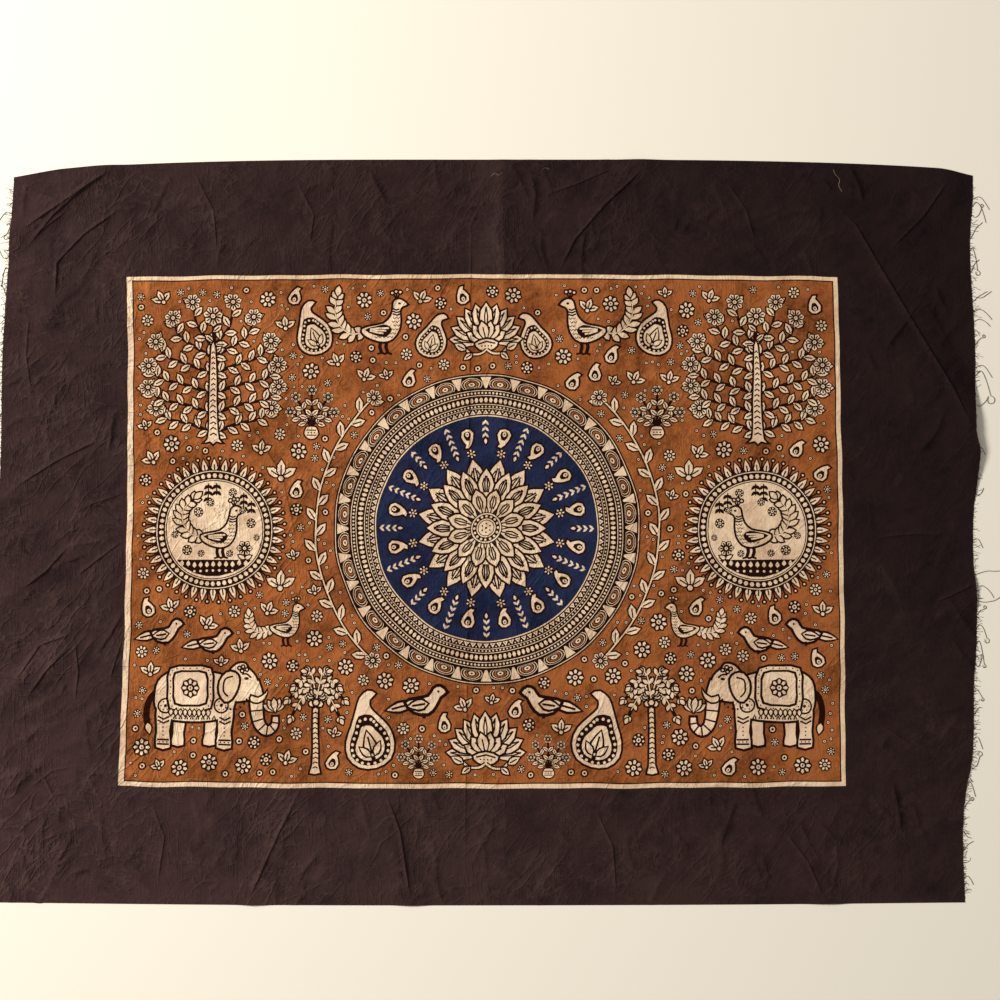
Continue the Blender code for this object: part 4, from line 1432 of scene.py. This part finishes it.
def dyeUnevenness(tree, place):
    # Dye clouds about 70 mm across, brush marks of 14 mm that run one way, blots of 4 mm and specks of 1 mm.
    brushed = addNode(tree, "ShaderNodeMapping", {
        "Vector": place, "Rotation": (0, 0, 0.9), "Scale": (1.7, 1, 1)}, vector_type="TEXTURE")
    layers = []
    for vector, perMetre, detail, share in ((place, 14, 3, 0.42), (brushed, 70, 5, 0.34),
                                            (place, 230, 3, 0.20), (place, 900, 2, 0.16)):
        noise = addNode(tree, "ShaderNodeTexNoise", {"Vector": vector, "Scale": perMetre, "Detail": detail})
        layers.append(addNode(tree, "ShaderNodeMath", {0: noise, 1: share}, operation="MULTIPLY"))
    large, small = (addNode(tree, "ShaderNodeMath", {0: a, 1: b}, operation="ADD")
                    for a, b in (layers[:2], layers[2:]))
    dyed = addNode(tree, "ShaderNodeMath", {0: large, 1: small}, operation="ADD")
    return addNode(tree, "ShaderNodeMapRange", {"Value": dyed, "From Min": 0.38, "From Max": 0.62})


def rumples(tree, place):
    # Height of the fine rumpling, small rumples on swells about 40 and 110 mm across, and of its sharp
    # wrinkles alone.
    height = crests = 0.0
    for perMetre, detail, share in ((24, 6, 1.15), (9, 2, 3.6)):
        swells = addNode(tree, "ShaderNodeTexNoise", {"Vector": place, "Scale": perMetre, "Detail": detail})
        lifted = addNode(tree, "ShaderNodeMath", {0: swells, 1: share}, operation="MULTIPLY")
        height = addNode(tree, "ShaderNodeMath", {0: height, 1: lifted}, operation="ADD")
    # Each set of wrinkles runs where a noise crosses its middle value, drawn out along the set's angle, and
    # shows in patches.
    for number, wrinkle in enumerate(wrinkles):
        moved = addNode(tree, "ShaderNodeVectorMath", {0: place, 1: (0.37 * number, 0.61 * number, 0.0)},
                        operation="ADD")
        drawnOut = addNode(tree, "ShaderNodeMapping", {
            "Vector": moved, "Rotation": (0, 0, wrinkle["angle"]), "Scale": (wrinkle["longer"], 1, 1)},
            vector_type="TEXTURE")
        noise = addNode(tree, "ShaderNodeTexNoise", {
            "Vector": drawnOut, "Scale": wrinkle["perMetre"], "Detail": 2.5})
        off = addNode(tree, "ShaderNodeMath", {0: noise, 1: 0.5}, operation="SUBTRACT")
        off = addNode(tree, "ShaderNodeMath", {0: off}, operation="ABSOLUTE")
        ridge = addNode(tree, "ShaderNodeMapRange", {
            "Value": off, "From Max": 0.045, "To Min": wrinkle["height"], "To Max": 0.0})
        noise = addNode(tree, "ShaderNodeTexNoise", {
            "Vector": moved, "Scale": wrinkle["patches"], "Detail": 2})
        shown = addNode(tree, "ShaderNodeMapRange", {"Value": noise, "From Min": 0.46, "From Max": 0.60})
        ridge = addNode(tree, "ShaderNodeMath", {0: ridge, 1: shown}, operation="MULTIPLY")
        height, crests = (addNode(tree, "ShaderNodeMath", {0: total, 1: ridge}, operation="ADD")
                          for total in (height, crests))
    # Thick and thin places of the yarns both ways, about 30 mm long.
    for perMetre, share in (((520, 30, 1), 0.24), ((40, 620, 1), 0.14)):
        stretched = addNode(tree, "ShaderNodeMapping", {"Vector": place, "Scale": perMetre})
        slubs = addNode(tree, "ShaderNodeTexNoise", {"Vector": stretched, "Scale": 1, "Detail": 2})
        lifted = addNode(tree, "ShaderNodeMath", {0: slubs, 1: share}, operation="MULTIPLY")
        height = addNode(tree, "ShaderNodeMath", {0: height, 1: lifted}, operation="ADD")
    return height, crests


def groundLightAndTone(tree, place, leftToRight, upwards):
    # Brightness of the dark ground: a painted sheen of the window's light that falls off from the lower left
    # corner to the upper right one, and a tone that is brighter towards the upper and lower edges.
    sizes = surfaceSizes
    towardsSheen = addNode(tree, "ShaderNodeVectorMath", {0: place, 1: (-0.75, -0.66, 0.0)},
                         operation="DOT_PRODUCT").outputs["Value"]
    lightAndTone = addNode(tree, "ShaderNodeMapRange", {
        "Value": towardsSheen, "From Min": -0.63, "From Max": 0.63,
        "To Min": sizes["sheenLeast"], "To Max": sizes["sheenMost"]})
    fromMiddle = addNode(tree, "ShaderNodeMath", {0: upwards}, operation="ABSOLUTE")
    atEnds = addNode(tree, "ShaderNodeMapRange", {
        "Value": fromMiddle, "From Min": 0.05, "From Max": 0.44,
        "To Min": sizes["middleTone"], "To Max": sizes["endTone"]})
    lightAndTone = addNode(tree, "ShaderNodeMath", {0: lightAndTone, 1: atEnds}, operation="MULTIPLY")
    # A painted highlight on the strip where the old fold's slope faces the light, fading out down the cloth.
    across = addNode(tree, "ShaderNodeMath", {0: leftToRight, 1: sizes["stripLeft"] * mm}, operation="ADD")
    across = addNode(tree, "ShaderNodeMath", {0: across}, operation="ABSOLUTE")
    strip = addNode(tree, "ShaderNodeMapRange", {
        "Value": across, "From Min": sizes["stripGone"] * mm, "From Max": sizes["stripFull"] * mm})
    share = addNode(tree, "ShaderNodeMapRange", {
        "Value": upwards, "From Max": 0.38, "To Min": 0.25 * sizes["stripHighlight"], "To Max": sizes["stripHighlight"]})
    strip = addNode(tree, "ShaderNodeMath", {0: strip, 1: share}, operation="MULTIPLY")
    strip = addNode(tree, "ShaderNodeMath", {0: strip, 1: 1.0}, operation="ADD")
    return addNode(tree, "ShaderNodeMath", {0: lightAndTone, 1: strip}, operation="MULTIPLY")


def cottonSurface():
    # What all the dyed parts share: unevenness of the dye, worn creases with a painted highlight on their
    # crests, the dark ground's painted sheen and tone, rumpling and weave.
    tree = bpy.data.node_groups.new("cotton surface", "ShaderNodeTree")
    for name, kind in (("Mottle", "Float"), ("Wear and highlight", "Float"), ("Painted light and tone", "Float"), ("Normal", "Vector")):
        tree.interface.new_socket(name, in_out="OUTPUT", socket_type="NodeSocket" + kind)
    sizes = surfaceSizes
    place = addNode(tree, "ShaderNodeTexCoord").outputs["Object"]
    leftToRight, upwards = addNode(tree, "ShaderNodeSeparateXYZ", {0: place}).outputs[:2]
    height, crests = rumples(tree, place)
    strength = addNode(tree, "ShaderNodeMapRange", {
        "Value": leftToRight, "From Min": -0.6, "From Max": 0.6,
        "To Min": sizes["leftRumple"], "To Max": sizes["rightRumple"]})
    height = addNode(tree, "ShaderNodeMath", {0: height, 1: strength}, operation="MULTIPLY")
    rumpled = addNode(tree, "ShaderNodeBump", {"Height": height, "Distance": sizes["rumpleDepth"] * mm})
    # A wave texture at scale 1 repeats every 0.314 units.
    bands = {"Vector": place, "Scale": 0.314 / (sizes["weavePitch"] * mm), "Distortion": 0.6, "Detail": 1.0}
    warp, weft = (addNode(tree, "ShaderNodeTexWave", bands, bands_direction=direction).outputs["Fac"]
                  for direction in ("X", "Y"))
    threads = addNode(tree, "ShaderNodeMath", {0: warp, 1: weft}, operation="ADD")
    woven = addNode(tree, "ShaderNodeBump", {
        "Height": threads, "Strength": 0.7, "Normal": rumpled, "Distance": sizes["weaveDepth"] * mm})
    # Creases are worn and carry a painted highlight, in spots 3 mm apart, and so do the wrinkles along their
    # crests.
    creased = addNode(tree, "ShaderNodeAttribute", attribute_name="creased").outputs["Fac"]
    noise = addNode(tree, "ShaderNodeTexNoise", {"Vector": place, "Scale": 300, "Detail": 2})
    spots = addNode(tree, "ShaderNodeMapRange", {"Value": noise, "From Min": 0.35, "From Max": 0.6})
    wearAndHighlight = addNode(tree, "ShaderNodeMath", {0: creased, 1: spots}, operation="MULTIPLY")
    rubbedAndLit = addNode(tree, "ShaderNodeMapRange", {
        "Value": crests, "From Min": 0.12, "From Max": 0.5, "To Max": sizes["crestWearAndHighlight"]})
    rubbedAndLit = addNode(tree, "ShaderNodeMath", {0: rubbedAndLit, 1: strength}, operation="MULTIPLY")
    wearAndHighlight = addNode(tree, "ShaderNodeMath", {0: wearAndHighlight, 1: rubbedAndLit}, operation="ADD")
    addNode(tree, "NodeGroupOutput", {
        "Mottle": dyeUnevenness(tree, place), "Wear and highlight": wearAndHighlight,
        "Painted light and tone": groundLightAndTone(tree, place, leftToRight, upwards), "Normal": woven})
    return tree


def cottonMaterial(ink, part):
    # Matt dyed cotton; on the underside it is as pale as dye that has only soaked through.
    finish = clothFinishes[ink]
    material = bpy.data.materials.new(finish["name"] if part == "top" else finish["name"] + ", underside")
    material.use_nodes = True
    tree = material.node_tree
    surface = addNode(tree, "ShaderNodeGroup", node_tree=surfaceGroup)
    pale = surfaceSizes["soaked"] if part == "underside" else 0.0
    undyed = colour(clothFinishes["cream"]["deep"])
    deep, light, wornAndLit = (tuple(a + (b - a) * pale for a, b in zip(colour(finish[key]), undyed))
                         for key in ("deep", "light", "wornAndLit"))
    dye = addNode(tree, "ShaderNodeMix", {"Factor": surface.outputs["Mottle"], "A": deep, "B": light},
                  data_type="RGBA")
    # Worn dye and a painted highlight along the crests of the creases and wrinkles.
    amount = addNode(tree, "ShaderNodeMath", {0: surface.outputs["Wear and highlight"], 1: surfaceSizes["wearAndHighlightShare"]},
                     operation="MULTIPLY")
    shown = addNode(tree, "ShaderNodeMix", {"Factor": amount, "A": dye, "B": wornAndLit},
                    data_type="RGBA").outputs[2]
    # The dark ground's colour is scaled by its painted sheen, its painted highlight and its tone.
    if ink == "ground":
        shown = addNode(tree, "ShaderNodeVectorMath", {0: shown, "Scale": surface.outputs["Painted light and tone"]},
                        operation="SCALE").outputs["Vector"]
    shader = tree.nodes["Principled BSDF"]
    tree.links.new(shown, shader.inputs["Base Color"])
    tree.links.new(surface.outputs["Normal"], shader.inputs["Normal"])
    shader.inputs["Roughness"].default_value = 0.95
    shader.inputs["Specular IOR Level"].default_value = 0.06
    return material


surfaceGroup = cottonSurface()
drawPanel()
print("print drawn:", len(shapes), "shapes")
cloth = makeCloth()
print("cloth made:", len(cloth.data.polygons), "triangles")


# Loose yarns of the two raw edges

yarnSizes = {
    "half": 0.23,              # mm, half the thickness of a short end, drawn half as thick again as it is,
    "longHalf": 0.33,          # of a long one, which is a few yarns together
    "strayHalf": 0.17,         # and of one that has come off
    "bend": 0.85,              # how far a yarn end wanders, as a share of its length
    "rootInside": 1.2,         # mm that a yarn starts inside the cloth
    "seed": 4,
}

# Dense short ends along each edge: low, high, spacing, shortest and longest in mm, and the spread of their
# headings in degrees.
yarnZones = {
    "left": ((-450, -150, 3.2, 1.5, 6.5, 60), (-150, 120, 2.6, 2.0, 8.0, 65), (120, 425, 2.0, 2.5, 11.0, 70)),
    "right": ((-450, -200, 1.15, 2.0, 8.0, 55), (-200, -20, 1.6, 2.0, 8.0, 60), (-20, 180, 3.0, 1.5, 6.5, 60),
              (180, 425, 2.4, 2.5, 9.5, 70)),
}

# The yarns that hang out furthest, one by one: root, reach out, run along, bow, and radius of an end curl.
longYarns = {
    "left": (
        (393, 16, -10, 4, 0), (381, 9, -16, -5, 2.5), (339, 13.5, 11, -5, 0), (322, 8, -22, 6, 0),
        (288, 10, 14, 7, 3), (260, 14.2, -16, 6, 0), (231, 8, 12, -7, 0), (204, 11, -14, 5, 3),
        (165, 10, 13, 5, 0), (142, 7, -12, -5, 2), (96, 8, 10, 4, 0), (28, 10, -12, -4, 0),
        (-48, 7, 9, 3, 2), (-112, 9, 10, 4, 0), (-176, 6, -9, -3, 0), (-258, 6, 8, 3, 0),
        (-330, 6, -8, 3, 1.5),
    ),
    "right": (
        (411, 21, -13, 6, 0), (402, 17, -20, 9, 0), (392, 15, 9, -5, 2), (360, 16, 22, 9, 0),
        (345, 12, -24, 8, 3), (318, 11, 16, 8, 0), (289, 24, 6, -4, 0), (281, 19, 13, 5, 0),
        (268, 23, -10, 5, 0), (256, 20, -6, 4, 0), (226, 13, 10, 5, 2), (197, 21, -12, 6, 0),
        (186, 24, -24, 12, 5), (152, 18, 10, -4, 0), (96, 9, -8, 3, 0), (40, 10, 7, -3, 0),
        (-18, 12, -9, 4, 0), (-60, 33.2, 4, 3, 0), (-77, 22, -12, 5, 0), (-92, 29.5, 4, -3, 0),
        (-110, 12, 7, 4, 2), (-126, 15, -12, 6, 3), (-147, 11, -24, 9, 2), (-170, 10, 8, -5, 2),
        (-204, 12, -8, 3, 2), (-232, 10, 9, 5, 0), (-262, 11, -12, 5, 0), (-291, 13, 8, -6, 3),
        (-318, 10, -14, 6, 0), (-345, 12, 9, 5, 2), (-372, 10, -10, -5, 0), (-398, 13, 12, 6, 0),
        (-430, 11, -8, 4, 0),
    ),
}

# Yarn ends that have come loose and lie on the cloth: points in mm.
strayYarns = (
    ((428, 450), (431, 443), (436, 437), (435, 429), (439, 421)),
    ((-3, 441), (2, 445), (6, 442), (11, 445)),
    ((61, 449), (65, 452), (70, 450)),
)


def yarnTree(material):
    # Grows a bent yarn from every point, by the attributes heading, long, lift and own.
    tree = bpy.data.node_groups.new("loose yarn ends", "GeometryNodeTree")
    tree.interface.new_socket("Roots", in_out="INPUT", socket_type="NodeSocketGeometry")
    for name, value in (("Half thickness", yarnSizes["half"] * mm), ("Bend", yarnSizes["bend"])):
        socket = tree.interface.new_socket(name, in_out="INPUT", socket_type="NodeSocketFloat")
        socket.default_value = value
    tree.interface.new_socket("Yarns", in_out="OUTPUT", socket_type="NodeSocketGeometry")
    given = addNode(tree, "NodeGroupInput")
    long, heading, lift, own = (
        addNode(tree, "GeometryNodeInputNamedAttribute", {"Name": name}, data_type="FLOAT")
        for name in ("long", "heading", "lift", "own")
    )

    line = addNode(tree, "GeometryNodeCurvePrimitiveLine", {"End": (1.0, 0.0, 0.0)})
    straight = addNode(tree, "GeometryNodeResampleCurve", {"Curve": line, "Count": 8})
    turn = addNode(tree, "ShaderNodeCombineXYZ", {"Z": heading})
    size = addNode(tree, "ShaderNodeCombineXYZ", {"X": long, "Y": long, "Z": long})
    grown = addNode(tree, "GeometryNodeInstanceOnPoints", {
        "Points": given.outputs["Roots"], "Instance": straight, "Rotation": turn, "Scale": size})
    yarns = addNode(tree, "GeometryNodeRealizeInstances", {"Geometry": grown})

    # Each yarn wanders more towards its tip, and falls from the height of its root to the surface.
    along = addNode(tree, "GeometryNodeSplineParameter").outputs["Factor"]
    place = addNode(tree, "GeometryNodeInputPosition")
    apart = addNode(tree, "ShaderNodeCombineXYZ", {"Z": own})
    spot = addNode(tree, "ShaderNodeVectorMath", {0: place, 1: apart}, operation="ADD")
    waves = addNode(tree, "ShaderNodeTexNoise", {"Vector": spot, "Scale": 130.0, "Detail": 1.0})
    wander = addNode(tree, "ShaderNodeVectorMath", {0: waves.outputs["Color"], 1: (0.5, 0.5, 0.5)},
                     operation="SUBTRACT")
    level = addNode(tree, "ShaderNodeVectorMath", {0: wander, 1: (1.0, 1.0, 0.0)}, operation="MULTIPLY")
    strength = addNode(tree, "ShaderNodeMath", {0: along, 1: 1.4}, operation="POWER")
    strength = addNode(tree, "ShaderNodeMath", {0: strength, 1: long}, operation="MULTIPLY")
    bend = addNode(tree, "ShaderNodeMath", {0: given.outputs["Bend"], 1: 2.4}, operation="MULTIPLY")
    strength = addNode(tree, "ShaderNodeMath", {0: strength, 1: bend}, operation="MULTIPLY")
    scaled = addNode(tree, "ShaderNodeVectorMath", {0: level, "Scale": strength}, operation="SCALE")
    fall = addNode(tree, "ShaderNodeMath", {0: along, 1: 1.6}, operation="MULTIPLY")
    fall = addNode(tree, "ShaderNodeMath", {0: 1.0, 1: fall}, operation="SUBTRACT")
    fall = addNode(tree, "ShaderNodeMath", {0: fall, 1: 0.0}, operation="MAXIMUM")
    fall = addNode(tree, "ShaderNodeMath", {0: fall, 1: 2.0}, operation="POWER")
    fall = addNode(tree, "ShaderNodeMath", {0: fall, 1: lift}, operation="MULTIPLY")
    raised = addNode(tree, "ShaderNodeCombineXYZ", {"Z": fall})
    offset = addNode(tree, "ShaderNodeVectorMath", {0: scaled, 1: raised}, operation="ADD")
    bent = addNode(tree, "GeometryNodeSetPosition", {"Geometry": yarns, "Offset": offset})
    profile = addNode(tree, "GeometryNodeCurvePrimitiveCircle", {
        "Resolution": 3, "Radius": given.outputs["Half thickness"]})
    solid = addNode(tree, "GeometryNodeCurveToMesh", {
        "Curve": bent, "Profile Curve": profile, "Fill Caps": True})
    plain = addNode(tree, "GeometryNodeRealizeInstances", {"Geometry": solid})
    dyed = addNode(tree, "GeometryNodeSetMaterial", {"Geometry": plain, "Material": material})
    addNode(tree, "NodeGroupOutput", {"Yarns": dyed})
    return tree


def plainMesh(live):
    # A plain mesh of what the object's modifiers or curve give, and nothing left of the live object.
    mesh = bpy.data.meshes.new_from_object(live.evaluated_get(bpy.context.evaluated_depsgraph_get()))
    bpy.data.objects.remove(live)
    return mesh


def edgeHeight(x, y, sign):
    # Height of the cloth's middle layer half a millimetre inside an edge.
    return float(topHeight(np.array([x - sign * 0.5]), np.array([y]))[0]) - 0.5 * clothSizes["thick"]


def yarnRoots(side):
    sign = -1 if side == "left" else 1
    dice = random.Random(yarnSizes["seed"] + sign)
    inside = yarnSizes["rootInside"]
    spots, values = [], {"long": [], "heading": [], "lift": [], "own": []}
    for low, high, spacing, shortest, longest, spread in yarnZones[side]:
        y = low
        while y < high:
            y += spacing * dice.uniform(0.4, 1.6)
            edge = hermite(edgeStations[side], y)
            heading = math.radians(dice.triangular(-spread, spread, 0)) + (math.pi if sign < 0 else 0)
            spots.append(((edge - sign * inside) * mm, y * mm, yarnSizes["half"] * mm))
            values["long"].append((shortest + (longest - shortest) * dice.random() ** 2 + inside) * mm)
            values["heading"].append(heading)
            values["lift"].append(edgeHeight(edge, y, sign) * mm)
            values["own"].append(dice.uniform(0, 10))
    mesh = bpy.data.meshes.new("yarn roots")
    mesh.from_pydata(spots, [], [])
    for name, numbers in values.items():
        mesh.attributes.new(name, "FLOAT", "POINT").data.foreach_set("value", numbers)
    return mesh


def longYarnPath(side, root, out, along, bow, curl):
    # Falls from the cloth's edge to the floor over the first part of its way, and ripples a little.
    sign = -1 if side == "left" else 1
    edge = hermite(edgeStations[side], root)
    lift = edgeHeight(edge, root, sign)
    low = yarnSizes["longHalf"] * 1.2
    path = [(edge - sign * yarnSizes["rootInside"], root, max(lift, low))]
    reach = out - curl
    for i in range(1, 17):
        t = i / 16
        ripple = 0.5 * math.sin(t * 11 + root)
        fall = max(1 - 1.6 * t, 0) ** 2
        sideways = root + along * t * t + bow * math.sin(math.pi * t) + ripple * t
        path.append((edge + sign * reach * t, sideways, max(low, lift * fall)))
    if curl:
        # The end curl passes over the yarn itself in its last third.
        x, y, z = path[-1]
        way = 1 if along > 0 else -1
        for i in range(1, 13):
            angle = i / 12 * math.pi * 1.7
            path.append((x + sign * curl * math.sin(angle), y + curl * (1 - math.cos(angle)) * way,
                         z + 2.2 * yarnSizes["longHalf"] * (i > 8)))
    return path


def yarnLines(name, paths, half, material):
    # A mesh of yarns of the given half thickness, one along each path in mm.
    curve = bpy.data.curves.new(name, "CURVE")
    curve.dimensions = "3D"
    curve.bevel_depth = half * mm
    curve.bevel_resolution = 0
    curve.use_fill_caps = True
    curve.materials.append(material)
    for path in paths:
        spline = curve.splines.new("POLY")
        spline.points.add(len(path) - 1)
        spline.points.foreach_set("co", [v for x, y, z in path for v in (x * mm, y * mm, z * mm, 1.0)])
    lines = bpy.data.objects.new(name, curve)
    scene.collection.objects.link(lines)
    return plainMesh(lines)


def joined(name, meshes, material):
    # One piece of one material from several meshes, which are used up.
    builder = bmesh.new()
    for mesh in meshes:
        builder.from_mesh(mesh)
        bpy.data.meshes.remove(mesh)
    whole = bpy.data.meshes.new(name)
    builder.to_mesh(whole)
    builder.free()
    whole.materials.clear()
    whole.materials.append(material)
    whole.polygons.foreach_set("material_index", [0] * len(whole.polygons))
    piece = bpy.data.objects.new(name, whole)
    scene.collection.objects.link(piece)
    return piece


def makeFray(side, name):
    material = yarnMaterials["loose"]
    roots = bpy.data.objects.new(name + " roots", yarnRoots(side))
    scene.collection.objects.link(roots)
    modifier = roots.modifiers.new("yarns", "NODES")
    modifier.node_group = yarnTree(material)
    ends = plainMesh(roots)
    paths = [longYarnPath(side, *row) for row in longYarns[side]]
    lines = yarnLines(name, paths, yarnSizes["longHalf"], material)
    return joined(name, [ends, lines], material)


def yarnMaterial(name, deep, light):
    # Dull twisted cotton, darker where it was covered and brown or tan where the dye is thin.
    material = bpy.data.materials.new(name)
    material.use_nodes = True
    tree = material.node_tree
    place = addNode(tree, "ShaderNodeTexCoord").outputs["Object"]
    blotches = addNode(tree, "ShaderNodeTexNoise", {"Vector": place, "Scale": 160.0, "Detail": 2.0})
    share = addNode(tree, "ShaderNodeMapRange", {"Value": blotches, "From Min": 0.35, "From Max": 0.65})
    dye = addNode(tree, "ShaderNodeMix", {"Factor": share, "A": colour(deep), "B": colour(light)},
                  data_type="RGBA")
    shader = tree.nodes["Principled BSDF"]
    tree.links.new(dye.outputs[2], shader.inputs["Base Color"])
    shader.inputs["Roughness"].default_value = 0.9
    shader.inputs["Specular IOR Level"].default_value = 0.2
    return material


yarnMaterials = {
    "loose": yarnMaterial("frayed iron-dyed cotton yarn", "#231712", "#6B5140"),
    "stray": yarnMaterial("stray undyed cotton yarn", "#84694A", "#B89F78"),
}
frayLeft = makeFray("left", "frayLeft")
frayRight = makeFray("right", "frayRight")


def onTop(points):
    # A smooth path that lies on the cloth.
    path = curved(points, 5, closed=False)
    x, y = np.array(path).T
    return list(zip(x, y, topHeight(x, y) + yarnSizes["strayHalf"]))


strayLines = yarnLines("strayYarns", [onTop(points) for points in strayYarns], yarnSizes["strayHalf"],
                       yarnMaterials["stray"])
strays = joined("strayYarns", [strayLines], yarnMaterials["stray"])
print("yarns made:", len(frayLeft.data.polygons) + len(frayRight.data.polygons), "faces")


# Floor, light and camera

studio = {
    "floor": "#FAEFDA",
    "window": {"place": (-3.4, 1.2, 2.4), "size": (1.1, 1.1), "power": 235.0},
    "sky": 0.3,
    # Straight above the cloth but for a small lean: lens in mm, lean in degrees, distance in metres, and the
    # spot on the floor that the camera looks at.
    "camera": {"lens": 45.0, "lean": 3.36, "distance": 1.5525, "aim": (0.008, 0.0323)},
}


def makeFloor():
    # Plain matt board.
    mesh = bpy.data.meshes.new("floor")
    mesh.from_pydata([(-4, -4, 0), (4, -4, 0), (4, 4, 0), (-4, 4, 0)], [], [(0, 1, 2, 3)])
    material = bpy.data.materials.new("matt white board")
    material.use_nodes = True
    shader = material.node_tree.nodes["Principled BSDF"]
    shader.inputs["Base Color"].default_value = colour(studio["floor"])
    shader.inputs["Roughness"].default_value = 0.9
    mesh.materials.append(material)
    floor = bpy.data.objects.new("floor", mesh)
    scene.collection.objects.link(floor)
    return floor


def makeLight(name, place, size, power):
    # Faces the middle of the cloth.
    light = bpy.data.lights.new(name, "AREA")
    light.shape = "RECTANGLE"
    light.size, light.size_y = size
    light.energy = power
    lamp = bpy.data.objects.new(name, light)
    lamp.location = place
    lamp.rotation_euler = Vector(place).to_track_quat("Z", "Y").to_euler()
    scene.collection.objects.link(lamp)
    return lamp


def makeCamera(lens, lean, distance, aim):
    data = bpy.data.cameras.new("camera")
    data.lens, data.sensor_width = lens, 36.0
    data.clip_end = 20.0
    data.dof.use_dof = False
    camera = bpy.data.objects.new("camera", data)
    lean = math.radians(lean)
    camera.location = (aim[0], aim[1] - distance * math.sin(lean), distance * math.cos(lean))
    camera.rotation_euler = (lean, 0.0, 0.0)
    scene.collection.objects.link(camera)
    scene.camera = camera


floor = makeFloor()
window = makeLight("window", **studio["window"])
world = bpy.data.worlds.new("sky")
world.use_nodes = True
world.node_tree.nodes["Background"].inputs["Color"].default_value = (1.0, 1.0, 1.0, 1.0)
world.node_tree.nodes["Background"].inputs["Strength"].default_value = studio["sky"]
scene.world = world
scene.view_settings.view_transform = "Standard"
makeCamera(**studio["camera"])


# Each piece hangs on the root body, in place of the solid's cloth and frays, which are hidden

for piece in (cloth, frayLeft, frayRight, strays):
    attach(piece, "root")
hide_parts("cloth")
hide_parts("fray_left")
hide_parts("fray_right")
